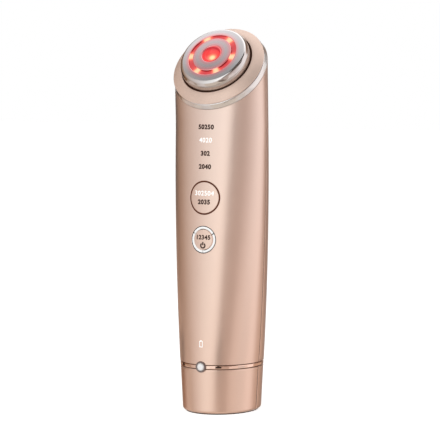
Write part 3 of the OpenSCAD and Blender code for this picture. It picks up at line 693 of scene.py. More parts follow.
ring_length = loft("level_ring_1", RING_STEPS, len(ring_edge) - 1, ring_length_point)
join_seams(fill_ends=True)
bpy.ops.object.shade_smooth_by_angle(angle=math.radians(50))
ring_length.data.materials.append(ring_white)
ring_lengths = [ring_length]
for number in (2, 3):
    length = turned_copy(ring_length, 120 * (number - 1))
    length.name = "level_ring_" + str(number)
    ring_lengths.append(length)
for length in ring_lengths:
    lay_on_front(length, LEVEL_Z)
    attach(length, "housing")
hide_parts("level_light_ring")

# A near-black lining in the gap round the ring is painted shade
lining_edge = [(6.77, -1.4), (7.07, -1.4), (7.07, -0.16), (6.77, -0.16), (6.77, -1.4)]
level_shade_lining = turned("level_shade_lining", lining_edge, steps=96)
lay_on_front(level_shade_lining, LEVEL_Z)
lining_shade_grey = grained("lining_shade_grey", (0.040, 0.032, 0.028), rough=0.6,
                      grains=3500, tint=0.3, shine=0.2, bump=0.3)
set_shader(lining_shade_grey, {"Specular IOR Level": 0.1})
level_shade_lining.data.materials.append(lining_shade_grey)
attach(level_shade_lining, "housing")


# Printed and lit marks
# Thin prints on the paint: four numbered modes, two choices on the mode button, level numbers with
# the common power sign, and a battery sign low down. Those that are lit shine through white.
STRIP = 0.45
STRIPS = 12
PRINT_THICKNESS = 0.06
PRINT_RISE = 0.035
FIGURE_SIZE = 1.4
FIGURE_SPACING = 1.12
BATTERY_Z = 37.1
BATTERY_STROKE = 0.3
dark_print = grained("dark_print", (0.050, 0.022, 0.016), rough=0.5,
                     grains=4000, tint=0.2, shine=0.15, bump=0.2)
set_shader(dark_print, {"Specular IOR Level": 0.2})
lit_print = grained("lit_print", (0.9, 0.9, 0.88), rough=0.4, grains=3000, tint=0.05, shine=0.1, bump=0.1)
set_shader(lit_print, {"Emission Color": WHITE, "Emission Strength": 0.5})


# A print is cut into upright strips, so that it follows the curve of the paint
def lay_print(mark, centre_z, material, body):
    bpy.ops.object.mode_set(mode="EDIT")
    for strip in range(-STRIPS, STRIPS + 1):
        bpy.ops.mesh.select_all(action="SELECT")
        bpy.ops.mesh.bisect(plane_co=(strip * STRIP * MM, 0, 0), plane_no=(1, 0, 0))
    bpy.ops.mesh.select_all(action="SELECT")
    bpy.ops.mesh.remove_doubles(threshold=SEAM)
    bpy.ops.object.mode_set(mode="OBJECT")
    give_wall(mark, PRINT_THICKNESS)
    for point in mark.data.vertices:
        point.co.z += PRINT_RISE * MM
    lay_on_front(mark, centre_z)
    mark.data.materials.append(material)
    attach(mark, body)


def print_figure(name, figure, material, body, height, stroke, centre_z):
    bpy.ops.object.select_all(action="DESELECT")
    bpy.ops.object.text_add()
    text = bpy.context.object
    text.data.body = figure
    text.data.size = height * FIGURE_SIZE * MM
    text.data.space_character = FIGURE_SPACING
    text.data.offset = stroke * MM
    text.data.align_x = "CENTER"
    text.data.align_y = "CENTER"
    bpy.ops.object.convert(target="MESH")
    mark = bpy.context.object
    mark.name = name
    lay_print(mark, centre_z, material, body)


print_figure("mark_1", "50250", dark_print, "housing", height=2.3, stroke=0.16, centre_z=148.9)
print_figure("mark_2", "4020", lit_print, "housing", height=2.4, stroke=0.05, centre_z=142.1)
print_figure("mark_3", "302", dark_print, "housing", height=2.3, stroke=0.16, centre_z=135.3)
print_figure("mark_4", "2040", dark_print, "housing", height=2.3, stroke=0.16, centre_z=128.5)
print_figure("mode_mark_upper", "302504", lit_print, "mode_button", height=2.4, stroke=0.05, centre_z=114.8)
print_figure("mode_mark_lower", "2035", dark_print, "mode_button", height=2.3, stroke=0.16, centre_z=110.3)
print_figure("level_mark", "12345", dark_print, "level_button", height=2.2, stroke=0.13,
             centre_z=LEVEL_Z + 1.1)


def flat_plate(name, across, up):
    low_x, high_x = across
    low_y, high_y = up
    bpy.ops.object.select_all(action="DESELECT")
    centre = ((low_x + high_x) / 2 * MM, (low_y + high_y) / 2 * MM, 0)
    bpy.ops.mesh.primitive_plane_add(size=1, location=centre)
    plate = bpy.context.object
    plate.name = name
    plate.scale = ((high_x - low_x) * MM, (high_y - low_y) * MM, 1)
    bpy.ops.object.transform_apply(location=True, rotation=False, scale=True)
    return plate


POWER_CENTRE = -3.05
POWER_INNER = 0.85
POWER_STROKE = 0.74
POWER_START = 125
POWER_SWEEP = 290
POWER_STEPS = 28


def power_arc_point(column, row):
    angle = math.radians(POWER_START + POWER_SWEEP * column / POWER_STEPS)
    radius = POWER_INNER + POWER_STROKE * row
    return radius * math.cos(angle), POWER_CENTRE + radius * math.sin(angle), 0


power_arc = loft("power_arc", POWER_STEPS, 1, power_arc_point)
bpy.ops.object.mode_set(mode="EDIT")
bpy.ops.mesh.select_all(action="SELECT")
bpy.ops.mesh.flip_normals()
bpy.ops.object.mode_set(mode="OBJECT")
lay_print(power_arc, LEVEL_Z, dark_print, "level_button")
power_bar = flat_plate("power_bar", (-0.35, 0.35), (-2.9, -1.15))
lay_print(power_bar, LEVEL_Z, dark_print, "level_button")

battery_sign = flat_plate("battery_sign", (-0.95, 0.95), (-1.75, 1.45))
bpy.ops.object.mode_set(mode="EDIT")
bpy.ops.mesh.select_mode(type="FACE")
bpy.ops.mesh.select_all(action="SELECT")
bpy.ops.mesh.inset(thickness=BATTERY_STROKE * MM)
bpy.ops.mesh.delete(type="FACE")
bpy.ops.object.mode_set(mode="OBJECT")
lay_print(battery_sign, BATTERY_Z, lit_print, "housing")
battery_tip = flat_plate("battery_tip", (-0.42, 0.42), (1.5, 1.85))
lay_print(battery_tip, BATTERY_Z, lit_print, "housing")


# Trim band
# A pressed metal band, polished rose gold with rounded edges, that closes the joint between the
# lower housing and the body; a narrow groove runs above and below it, its dark brown painted shade.
BAND_MIDDLE = 24.95
BAND_FACE = 0.94
ROUND_STEPS = 180
band_edge = [(1.1, 23.72), (1.1, 24.0), (0.45, 24.0), (0.3, 24.05)]
band_edge += [(0.19, 24.13), (0.125, 24.24), (0.105, 24.36), (0.1, 24.6)]
band_edge += [(inset, 2 * BAND_MIDDLE - z) for inset, z in reversed(band_edge)]
band_edge += [(2.6, 26.18), (2.6, 23.72), (1.1, 23.72)]


# Rows are (inset from the outline, height), and the outline is (half width, front, rear)
def ring_round_body(name, outline, rows):
    def ring_point(column, row):
        inset, z = rows[row]
        x, y = egg(*(size - inset for size in outline), math.radians(360 / ROUND_STEPS * column))
        return x, y, z

    ring = loft(name, ROUND_STEPS, len(rows) - 1, ring_point)
    join_seams()
    bpy.ops.object.shade_smooth_by_angle(angle=math.radians(45))
    return ring


polished_band = ring_round_body("polished_band", (BAND_HALF, BAND_FRONT, BAND_REAR), band_edge)
# Faces above and below the band face take a dark brown, painted shade in the grooves
for face in polished_band.data.polygons:
    if abs(face.center.z / MM - BAND_MIDDLE) > BAND_FACE:
        face.material_index = 1
rose_polish = grained("rose_polish", (0.92, 0.68, 0.56), rough=0.07,
                      grains=900, tint=0.03, shine=0.03, bump=0.01, metal=1)
polished_band.data.materials.append(rose_polish)
polished_band.data.materials.append(groove_shade_brown)
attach(polished_band, "housing")
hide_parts("trim_band")


# Jewel in its setting
# A small brilliant-cut crystal held in a turned cup of dark silver by a ring of fine beads, pressed
# into the trim band at the middle of the front.
JEWEL_SEAT = (0, -22.9, 25.1)
BEADS = 24
STONE_RADIUS = 2.04
STONE_FACETS = 16


def put_in_place(piece, tilt, seat):
    bpy.ops.object.select_all(action="DESELECT")
    piece.select_set(True)
    bpy.context.view_layer.objects.active = piece
    piece.rotation_euler = (tilt, 0, 0)
    piece.location = Vector(seat) * MM
    bpy.ops.object.transform_apply(location=True, rotation=True, scale=False)


def set_in_band(piece):
    put_in_place(piece, math.radians(90), JEWEL_SEAT)


setting_edge = [(2.98, 0), (2.98, 1.2), (2.84, 1.75), (2.62, 1.75)]
setting_edge += [(2.05, 1.5), (1.8, 0.7), (1.8, 0), (2.98, 0)]
stone_setting = turned("stone_setting", setting_edge, steps=64)
round_ring(stone_setting, 2.84, 1.75, size=0.1, segments=3)
set_in_band(stone_setting)
setting_silver = grained("setting_silver", (0.26, 0.20, 0.185), rough=0.3,
                         grains=1500, tint=0.08, shine=0.08, bump=0.05, metal=0.8)
stone_setting.data.materials.append(setting_silver)
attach(stone_setting, "housing")
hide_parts("jewel_setting")

bpy.ops.object.select_all(action="DESELECT")
bead_place = (2.32 * MM, 0, 1.76 * MM)
bpy.ops.mesh.primitive_uv_sphere_add(segments=10, ring_count=6, radius=0.28 * MM, location=bead_place)
first_bead = bpy.context.object
bpy.ops.object.transform_apply(location=True, rotation=False, scale=False)
bpy.ops.object.shade_smooth()
for number in range(1, BEADS):
    turned_copy(first_bead, 360 / BEADS * number).select_set(True)
bpy.ops.object.join()
setting_beads = bpy.context.object
setting_beads.name = "setting_beads"
set_in_band(setting_beads)
bead_silver = grained("bead_silver", (0.46, 0.42, 0.40), rough=0.16,
                      grains=1500, tint=0.06, shine=0.06, bump=0.03, metal=1)
setting_beads.data.materials.append(bead_silver)
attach(setting_beads, "housing")

# The cut is the hull of its girdle, crown, table and point: (corners, radius, height, turn)
stone_cut = [(STONE_FACETS, STONE_RADIUS, 1.52, 0), (STONE_FACETS // 2, 1.6, 1.98, 0)]
stone_cut += [(STONE_FACETS // 2, 0.95, 2.09, math.radians(22.5)), (STONE_FACETS // 2, 0.2, 0.35, 0)]
bpy.ops.object.select_all(action="DESELECT")
bpy.ops.mesh.primitive_circle_add(vertices=STONE_FACETS, radius=STONE_RADIUS * MM, location=(0, 0, 1.6 * MM))
stone = bpy.context.object
stone.name = "stone"
bpy.ops.object.transform_apply(location=True, rotation=False, scale=False)
bpy.ops.object.mode_set(mode="EDIT")
for corners, radius, height, turn in stone_cut:
    bpy.ops.mesh.primitive_circle_add(vertices=corners, radius=radius * MM,
                                      location=(0, 0, height * MM), rotation=(0, 0, turn))
bpy.ops.mesh.select_all(action="SELECT")
bpy.ops.mesh.convex_hull()
bpy.ops.mesh.normals_make_consistent(inside=False)
bpy.ops.object.mode_set(mode="OBJECT")
set_in_band(stone)
crystal = grained("crystal", (0.97, 0.965, 0.965), rough=0.03,
                  grains=500, tint=0.03, shine=0.02, bump=0.0, metal=0.2)
set_shader(crystal, {"Transmission Weight": 0.1, "IOR": 2.4})
# The faint white emission is a painted glow that brightens the stone
set_shader(crystal, {"Emission Color": WHITE, "Emission Strength": 0.1})
stone.data.materials.append(crystal)
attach(stone, "housing")
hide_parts("jewel")


# Lower housing
# Two moulded half cups in the same rose paint, screwed to the base plate under the trim band;
# they meet on the same parting line as the shells, and a thin dark rubber edge under them is part foot and
# part painted contact shadow on the table.
BASE_HALF = 19.9
BASE_FRONT = 23.3
BASE_REAR = 22.6
CUP_LOW = 0.5
CUP_HIGH = 23.7
CUP_ROUND = 1.6
CUP_WIDENS = 1.35
CUP_DEEPENS = 0.55
CUP_GAP = 0.85
CUP_STEPS = 100
CUP_WALL = 1.5
CUP_TOP = 23.68
CUP_CORD_START = -0.95
CUP_CORD_STEP = 0.63
cup_rows = [(3.6, 0.52), (2.4, 0.52)]
for turn in range(0, 91, 10):
    corner = math.radians(turn)
    cup_rows.append((CUP_ROUND * (1 - math.sin(corner)), CUP_LOW + CUP_ROUND * (1 - math.cos(corner))))
rounded_rows = len(cup_rows)
cup_rows += [(0, z) for z in spread(3.2, CUP_TOP, 16)] + [(0, CUP_TOP)]


def cup_point(angle, row):
    inset, z = cup_rows[row]
    rise = (z - CUP_LOW) / (CUP_HIGH - CUP_LOW)
    half = BASE_HALF + CUP_WIDENS * rise - inset
    deeper = CUP_DEEPENS * rise - inset
    x, y = egg(half, BASE_FRONT + deeper, BASE_REAR + deeper, angle)
    return x, y, z


for name, node, start in (("lower_front", "base_front_cover", 180), ("lower_rear", "base_rear_cover", 0)):
    def half_cup_point(column, row):
        share = column / CUP_STEPS
        return cup_point(math.radians(start + CUP_GAP + (180 - 2 * CUP_GAP) * share), row)

    cup = loft(name, CUP_STEPS, len(cup_rows) - 1, half_cup_point)
    give_wall(cup, CUP_WALL)
    soften_edges(cup, size=0.14, segments=2, sharpness=60)
    cup.data.materials.append(rose_paint)
    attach(cup, "housing")
    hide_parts(node)

# The cups' parting line takes the same brown cord, painted shade of the gap
for side, middle in (("right", 0), ("left", 180)):
    def cup_cord_point(column, row):
        angle = math.radians(middle + CUP_CORD_START + CUP_CORD_STEP * column)
        return sunk(*cup_point(angle, row + rounded_rows))

    lay_cord("cup_cord_" + side, len(cup_rows) - rounded_rows - 1, cup_cord_point)

# The dark rubber edge reaches out under the cups as painted contact shadow
foot_rows = [(2.6, 0.1), (1.75, 0.0), (1.5, 0.04), (1.4, 0.2), (1.4, 0.6), (2.6, 0.6), (2.6, 0.1)]
foot_shadow_edge = ring_round_body("foot_shadow_edge", (BASE_HALF, BASE_FRONT, BASE_REAR), foot_rows)
foot_shadow_edge.data.materials.append(dark_rubber)
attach(foot_shadow_edge, "housing")


# Head rim
# A turned and polished pale metal ring between the shells and the bezel; it clips over the top edge
# of the shells, and its slightly conical outside and rounded upper edge catch the light.
def seat_on_head(piece):
    put_in_place(piece, FACE_TILT, FACE_CENTRE)


rim_edge = [(24.1, -13.27), (25.62, -13.27), (25.74, -13.22), (25.8, -13.08), (25.77, -12.9), (25.34, -11.4)]
rim_edge += [(25.16, -10.78), (25.07, -10.56), (24.95, -10.37), (24.8, -10.23), (24.6, -10.13)]
rim_edge += [(24.1, -10.08), (24.1, -13.27)]
silver_rim = turned("silver_rim", rim_edge, steps=192)
bpy.ops.object.shade_smooth_by_angle(angle=math.radians(38))
seat_on_head(silver_rim)
rim_metal = grained("rim_metal", (0.83, 0.82, 0.81), rough=0.2,
                    grains=1200, tint=0.04, shine=0.05, bump=0.05, metal=1)
silver_rim.data.materials.append(rim_metal)
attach(silver_rim, "housing")
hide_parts("head_rim")


# Bezel
# A domed ring moulded and blasted to a fine matt champagne, held by the head screws from behind;
# a thin gap parts it from the rim.
BEZEL_INNER = 19.52
BEZEL_OUTER = 25.1
BEZEL_TOP = -6.8
BEZEL_EDGE = -9.5
BEZEL_DOME = 1.55
BEZEL_STEPS = 16
bezel_edge = [(24.0, -9.7), (BEZEL_OUTER, -9.7), (BEZEL_OUTER, BEZEL_EDGE)]
for step in range(1, BEZEL_STEPS + 1):
    part = 1 - step / BEZEL_STEPS
    bezel_edge.append((BEZEL_INNER + (BEZEL_OUTER - BEZEL_INNER) * part,
                       BEZEL_TOP + (BEZEL_EDGE - BEZEL_TOP) * part ** BEZEL_DOME))
bezel_edge += [(BEZEL_INNER, -9.2), (22.0, -9.2), (24.0, -9.7)]
bezel_ring = turned("bezel_ring", bezel_edge, steps=192)
round_ring(bezel_ring, BEZEL_INNER, BEZEL_TOP, size=0.2, segments=4)
round_ring(bezel_ring, BEZEL_OUTER, BEZEL_EDGE, size=0.12, segments=3)
seat_on_head(bezel_ring)
champagne_matte = grained("champagne_matte", (0.86, 0.66, 0.555), rough=0.46,
                          grains=2300, tint=0.25, shine=0.1, bump=0.5, metal=0.45)
bezel_ring.data.materials.append(champagne_matte)
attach(bezel_ring, "housing")
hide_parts("head_bezel")


# Seal
# A soft dark ring that fills the gap between the bezel and the electrode cup, a little below both.
# It is moulded in brown rubber and pressed in from above.
seal_edge = [(18.88, -8.7), (19.5, -8.7), (19.5, -7.5), (19.2, -7.4), (18.88, -7.5), (18.88, -8.7)]
seal_ring = turned("seal_ring", seal_edge, steps=160)
bpy.ops.object.shade_smooth_by_angle(angle=math.radians(40))
seat_on_head(seal_ring)
seal_brown = grained("seal_brown", (0.085, 0.032, 0.018), rough=0.6,
                     grains=3500, tint=0.3, shine=0.2, bump=0.4)
set_shader(seal_brown, {"Specular IOR Level": 0.05})
seal_ring.data.materials.append(seal_brown)
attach(seal_ring, "housing")
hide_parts("head_seal")


# Outer and inner electrodes
# Two turned metal rings with a fine satin face and polished round edges: the outer one is a cup
# that stands proud of the bezel, the inner one a washer round the centre lamp.
LINE_DEPTH = 0.00001
SPILL_TINT = (1.0, 0.60, 0.60, 1)
SPILL_GLOW = (0.30, 0.02, 0.03, 1)
WINDOW_OUTER = 13.05
WINDOW_INNER = 10.65
LENS_EDGE = 5.25
ELECTRODE_BACK = -1.6
CROWN_TOP = 0.9
CROWN_FALL = 1.65
CROWN_RADIUS = 16.6
SHOULDER = 1.9
SHOULDER_RADIUS = 16.35
SHOULDER_HEIGHT = -2.62


def place_on_face(tree, centre):
    place = tree.nodes.new("ShaderNodeTexCoord")
    on_face = tree.nodes.new("ShaderNodeMapping")
    on_face.vector_type = "TEXTURE"
    on_face.inputs["Location"].default_value = Vector(centre) * MM
    on_face.inputs["Rotation"].default_value = (FACE_TILT, 0, 0)
    tree.links.new(place.outputs["Object"], on_face.inputs["Vector"])
    return on_face.outputs["Vector"]


def radius_on_face(tree, centre):
    flat = tree.nodes.new("ShaderNodeVectorMath")
    flat.operation = "MULTIPLY"
    flat.inputs[1].default_value = (1, 1, 0)
    tree.links.new(place_on_face(tree, centre), flat.inputs[0])
    radius = tree.nodes.new("ShaderNodeVectorMath")
    radius.operation = "LENGTH"
    tree.links.new(flat.outputs["Vector"], radius.inputs[0])
    return radius.outputs["Value"]


def make_turning_lines():
    inputs = ("Lines per metre", "Roughness", "Roughness change")
    group, given, made = new_group("turning_lines", (), inputs, ("Roughness", "Height"))
    lines = group.nodes.new("ShaderNodeTexNoise")
    lines.noise_dimensions = "1D"
    lines.inputs["Detail"].default_value = 3
    group.links.new(radius_on_face(group, FACE_CENTRE), lines.inputs["W"])
    group.links.new(given["Lines per metre"], lines.inputs["Scale"])
    swing = reckoned(group, "SUBTRACT", lines.outputs["Fac"], 0.5)
    shine = reckoned(group, "MULTIPLY_ADD", swing, given["Roughness change"], given["Roughness"])
    group.links.new(shine, made["Roughness"])
    group.links.new(lines.outputs["Fac"], made["Height"])
    return group


turning_lines = make_turning_lines()


# Red light from the lamps tints the metal close to two circles, and lights it a little
def make_lamp_spill():
    inputs = ("Base", "First circle", "Second circle", "Reach")
    group, given, made = new_group("lamp_spill", ("Base", "Glow"), inputs, ("Base", "Glow"))
    radius = radius_on_face(group, FACE_CENTRE)
    away = [reckoned(group, "ABSOLUTE", reckoned(group, "SUBTRACT", radius, given[circle]))
            for circle in ("First circle", "Second circle")]
    share = group.nodes.new("ShaderNodeMapRange")
    set_sockets(share.inputs, {"From Min": 0, "To Min": 1, "To Max": 0})
    group.links.new(reckoned(group, "MINIMUM", *away), share.inputs["Value"])
    group.links.new(given["Reach"], share.inputs["From Max"])
    strength = reckoned(group, "POWER", share.outputs["Result"], 2)
    group.links.new(mixed(group, strength, given["Base"], SPILL_TINT, "MULTIPLY"), made["Base"])
    group.links.new(mixed(group, strength, BLACK, SPILL_GLOW), made["Glow"])
    return group


lamp_spill = make_lamp_spill()


def turned_metal(name, colour, rough, lines, bump, circles, reach):
    material = grained(name, colour, rough, grains=900, tint=0.03, shine=0.05, bump=bump, metal=1)
    nodes = material.node_tree.nodes
    links = material.node_tree.links
    shader = nodes["Principled BSDF"].inputs
    cuts = nodes.new("ShaderNodeGroup")
    cuts.node_tree = turning_lines
    set_sockets(cuts.inputs, {"Lines per metre": lines, "Roughness change": 0.08})
    links.new(nodes["grain"].outputs["Roughness"], cuts.inputs["Roughness"])
    links.new(cuts.outputs["Roughness"], shader["Roughness"])
    links.new(cuts.outputs["Height"], nodes["lift"].inputs["Height"])
    nodes["lift"].inputs["Distance"].default_value = LINE_DEPTH
    spill = nodes.new("ShaderNodeGroup")
    spill.node_tree = lamp_spill
    first, second = circles
    set_sockets(spill.inputs, {"First circle": first * MM, "Second circle": second * MM, "Reach": reach * MM})
    links.new(nodes["grain"].outputs["Colour"], spill.inputs["Base"])
    links.new(spill.outputs["Base"], shader["Base Color"])
    links.new(spill.outputs["Glow"], shader["Emission Color"])
    shader["Emission Strength"].default_value = 1
    return material


def crown(radius):
    return CROWN_TOP - CROWN_FALL * (radius / CROWN_RADIUS) ** 2


outer_edge = [(WINDOW_OUTER, ELECTRODE_BACK)]
outer_edge += [(radius, crown(radius)) for radius in (WINDOW_OUTER, 13.7, 14.3, 15.0, 15.7, 16.3)]
for turn in range(14, 71, 7):
    round_off = math.radians(turn)
    outer_edge.append((SHOULDER_RADIUS + SHOULDER * math.sin(round_off),
                       SHOULDER_HEIGHT + SHOULDER * math.cos(round_off)))
outer_edge += [(18.3, -2.32), (18.44, -2.65), (18.56, -2.93), (18.66, -3.2), (18.73, -3.5), (18.77, -3.9)]
outer_edge += [(18.8, -4.4), (18.82, -5.2), (18.84, -6.0), (18.86, -6.9), (18.86, -9.2), (17.3, -9.2)]
outer_edge += [(17.3, -3.4), (16.3, -3.4), (16.3, ELECTRODE_BACK), (WINDOW_OUTER, ELECTRODE_BACK)]
outer_ring = turned("outer_ring_electrode", outer_edge, steps=192)
round_ring(outer_ring, WINDOW_OUTER, crown(WINDOW_OUTER), size=0.35, segments=6)
# Slots are 0 face, 1 round edge, 2 outer wall in a darker metal as painted shade, and 3 the wall beside the
# window, with painted lamp light and painted shade
for face in outer_ring.data.polygons:
    from_middle = math.hypot(face.center.x, face.center.y)
    if from_middle > 16.7 * MM:
        face.material_index = 1 if face.center.z > -3.3 * MM else 2
    elif from_middle < (WINDOW_OUTER + 0.05) * MM and face.center.z < -0.4 * MM:
        face.material_index = 3
seat_on_head(outer_ring)
outer_spill = {"circles": (WINDOW_OUTER, WINDOW_OUTER), "reach": 2.9}
outer_metal = turned_metal("outer_electrode_metal", (0.735, 0.725, 0.73), rough=0.13,
                           lines=5200, bump=0.12, **outer_spill)
outer_edge_metal = turned_metal("outer_edge_metal", (0.75, 0.73, 0.725), rough=0.085,
                                lines=2600, bump=0.04, **outer_spill)
# The lower outer wall is a darker copy of the electrode metal, painted shade
outer_wall_shaded_metal = turned_metal("outer_wall_shaded_metal", (0.57, 0.53, 0.505), rough=0.14,
                                lines=2600, bump=0.04, **outer_spill)
for metal in (outer_metal, outer_edge_metal, outer_wall_shaded_metal):
    outer_ring.data.materials.append(metal)
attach(outer_ring, "housing")
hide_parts("outer_electrode")

inner_edge = [(LENS_EDGE, ELECTRODE_BACK)]
inner_edge += [(radius, crown(radius)) for radius in (LENS_EDGE, 6.2, 7.4, 8.6, 9.8, WINDOW_INNER)]
inner_edge += [(WINDOW_INNER, ELECTRODE_BACK), (LENS_EDGE, ELECTRODE_BACK)]
inner_ring = turned("inner_ring_electrode", inner_edge, steps=144)
round_ring(inner_ring, LENS_EDGE, crown(LENS_EDGE), size=0.5, segments=6)
round_ring(inner_ring, WINDOW_INNER, crown(WINDOW_INNER), size=0.3, segments=6)
# Faces of the wall beside the window take the painted lamp light and shade
for face in inner_ring.data.polygons:
    from_middle = math.hypot(face.center.x, face.center.y)
    if from_middle > (WINDOW_INNER - 0.05) * MM and face.center.z < 0:
        face.material_index = 1
seat_on_head(inner_ring)
inner_metal = turned_metal("inner_electrode_metal", (0.66, 0.63, 0.64), rough=0.2,
                           lines=5200, bump=0.2, circles=(LENS_EDGE, WINDOW_INNER), reach=3.6)
inner_ring.data.materials.append(inner_metal)
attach(inner_ring, "housing")
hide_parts("inner_electrode")


# Red light ring
# A clear red moulded ring window, sunk a little between the electrodes and lit from behind by six
# lamps whose warm spots show through it.
LAMPS = 6
LAMP_OFFSET = (0, 0.0009, 0)
RIPPLES_PER_METRE = 420
window_edge = [(10.7, -1.55), (10.7, -0.8), (11.0, -0.78), (11.9, -0.8), (12.75, -0.86), (13.05, -0.92)]
window_edge += [(13.05, -1.55), (10.7, -1.55)]
red_window = turned("red_window", window_edge, steps=192)
bpy.ops.object.shade_smooth_by_angle(angle=math.radians(40))
seat_on_head(red_window)


def red_moulding(name):
    material = bpy.data.materials.new(name)
    material.use_nodes = True
    set_shader(material, {"Roughness": 0.22, "Emission Strength": 1})
    tree = material.node_tree
    place = tree.nodes.new("ShaderNodeTexCoord")
    ripple = tree.nodes.new("ShaderNodeTexNoise")
    ripple.inputs["Scale"].default_value = RIPPLES_PER_METRE
    tree.links.new(place.outputs["Object"], ripple.inputs["Vector"])
    body = blended(tree, ripple.outputs["Fac"], [(0.3, (0.16, 0.004, 0.006)), (0.7, (0.28, 0.010, 0.012))])
    tree.links.new(body, tree.nodes["Principled BSDF"].inputs["Base Color"])
    return material


def lit_by_ring(name, glow_stops):
    material = red_moulding(name)
    tree = material.node_tree
    behind = tree.nodes.new("ShaderNodeVectorMath")
    behind.inputs[1].default_value = LAMP_OFFSET
    tree.links.new(place_on_face(tree, FACE_CENTRE), behind.inputs[0])
    across = parts_of(tree, behind.outputs["Vector"])
    turn = reckoned(tree, "ARCTAN2", across["Y"], across["X"])
    near_lamp = reckoned(tree, "COSINE", reckoned(tree, "MULTIPLY", turn, LAMPS))
    glow = blended(tree, share_of(tree, near_lamp, -1, 1), glow_stops)
    tree.links.new(glow, tree.nodes["Principled BSDF"].inputs["Emission Color"])
    return material


between_lamps = [(0.0, (0.52, 0.055, 0.062)), (0.5, (0.62, 0.085, 0.08)), (0.76, (0.90, 0.20, 0.14))]
over_lamps = [(0.88, (1.0, 0.54, 0.30)), (1.0, (1.0, 0.72, 0.42))]
red_window.data.materials.append(lit_by_ring("window_red", between_lamps + over_lamps))

# The electrode walls beside it get painted shade between the lamps and painted red light from the lamps
painted_shade_between_lamps = [(0.0, (0.06, 0.002, 0.003)), (0.5, (0.17, 0.011, 0.011)), (0.76, (0.70, 0.10, 0.08))]
wall_glow_and_shade = lit_by_ring("wall_glow_and_shade", painted_shade_between_lamps + over_lamps)
outer_ring.data.materials.append(wall_glow_and_shade)
inner_ring.data.materials.append(wall_glow_and_shade)
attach(red_window, "housing")
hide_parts("light_ring")


# Centre lens
# A red moulded bowl in the middle of the inner electrode with one warm lamp behind its floor,
# brightest at the bottom and deep red up its side, with a ring of painted shade near its top and a painted
# pale highlight at its lip.
BOWL_RADIUS = 4.75
BOWL_LIP = 0.36
BOWL_DEPTH = 2.5
BOWL_CURVE = 2.2
BOWL_STEPS = 12
BOWL_GLOW = 5.6
bowl_edge = [(5.2, -3.4), (5.2, 0.35), (5.0, 0.42), (BOWL_RADIUS, BOWL_LIP)]
for step in range(1, BOWL_STEPS + 1):
    part = 1 - step / BOWL_STEPS
    bowl_edge.append((BOWL_RADIUS * part, BOWL_LIP - BOWL_DEPTH * math.sqrt(1 - part ** BOWL_CURVE)))
red_bowl = turned("red_bowl", bowl_edge, steps=96)
bpy.ops.object.shade_smooth_by_angle(angle=math.radians(50))
seat_on_head(red_bowl)
bowl_lamp = Vector(FACE_CENTRE) + Vector((-0.5, -0.3, -0.36))
# Near the top the glow dips to a ring of painted shade, then rises to a painted pale highlight at the lip
bowl_glow_and_shade_stops = [(0.0, (1.0, 0.86, 0.48)), (0.19, (1.0, 0.70, 0.34)), (0.34, (0.98, 0.24, 0.14))]
bowl_glow_and_shade_stops += [(0.52, (0.88, 0.08, 0.07)), (0.79, (0.72, 0.045, 0.05)), (0.88, (0.36, 0.015, 0.03))]
bowl_glow_and_shade_stops += [(0.93, (0.46, 0.05, 0.06)), (1.0, (0.80, 0.20, 0.20))]
bowl_red = red_moulding("bowl_red")
bowl_tree = bowl_red.node_tree
bowl_share = share_of(bowl_tree, radius_on_face(bowl_tree, bowl_lamp), 0, BOWL_GLOW * MM)
bowl_glow = blended(bowl_tree, bowl_share, bowl_glow_and_shade_stops)
bowl_tree.links.new(bowl_glow, bowl_tree.nodes["Principled BSDF"].inputs["Emission Color"])
red_bowl.data.materials.append(bowl_red)
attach(red_bowl, "housing")
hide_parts("centre_lens")


# Studio
# A white floor and surround, soft lamps, and a graded paper tent round the object, which shows only
# in its metal and paint: bright at the left, toned at the right and towards the back.
TURN = math.radians(27.5)
RISE = math.radians(4.83)
CAMERA_DISTANCE = 1.206
CAMERA_LENS = 188.4
AIM_SIDE = -0.001216
AIM_HEIGHT = 0.09955
to_camera = Vector((math.sin(TURN) * math.cos(RISE), -math.cos(TURN) * math.cos(RISE), math.sin(RISE)))
to_right = Vector((math.cos(TURN), math.sin(TURN), 0))
aim = to_right * AIM_SIDE + Vector((0, 0, AIM_HEIGHT))
camera_data = bpy.data.cameras.new("photo_camera")
camera_data.lens = CAMERA_LENS
camera_data.sensor_width = 36
camera_data.clip_end = 20
camera = bpy.data.objects.new("photo_camera", camera_data)
camera.location = aim + to_camera * CAMERA_DISTANCE
camera.rotation_euler = (-to_camera).to_track_quat("-Z", "Y").to_euler()
bpy.context.collection.objects.link(camera)
bpy.context.scene.camera = camera
bpy.context.scene.view_settings.view_transform = "Standard"


# Places in the studio go round the object, in degrees from the camera's side towards its right
def around(degrees, distance, height):
    level_camera = Vector((math.sin(TURN), -math.cos(TURN), 0))
    angle = math.radians(degrees)
    out = level_camera * (distance * math.cos(angle)) + to_right * (distance * math.sin(angle))
    return out + Vector((0, 0, height))


def soft_lamp(name, degrees, distance, height, size, power):
    lamp_data = bpy.data.lights.new(name, "AREA")
    lamp_data.shape = "RECTANGLE"
    lamp_data.size = size
    lamp_data.size_y = size
    lamp_data.energy = power
    lamp = bpy.data.objects.new(name, lamp_data)
    lamp.location = around(degrees, distance, height)
    lamp.rotation_euler = (Vector((0, 0, 0.1)) - lamp.location).to_track_quat("-Z", "Y").to_euler()
    lamp.visible_glossy = False
    bpy.context.collection.objects.link(lamp)


soft_lamp("key_lamp", degrees=-40, distance=1.0, height=0.75, size=0.8, power=4.0)
soft_lamp("fill_lamp", degrees=70, distance=1.2, height=0.5, size=0.8, power=2.0)


def tent_paper(name):
    paper = bpy.data.materials.new(name)
    paper.use_nodes = True
    tree = paper.node_tree
    tree.nodes.clear()
    shade = tree.nodes.new("ShaderNodeEmission")
    surface = tree.nodes.new("ShaderNodeOutputMaterial")
    tree.links.new(shade.outputs["Emission"], surface.inputs["Surface"])
    return paper, tree, shade.inputs


def hang_in_tent(card, paper):
    card.visible_camera = False
    card.visible_diffuse = False
    card.visible_shadow = False
    card.data.materials.append(paper)


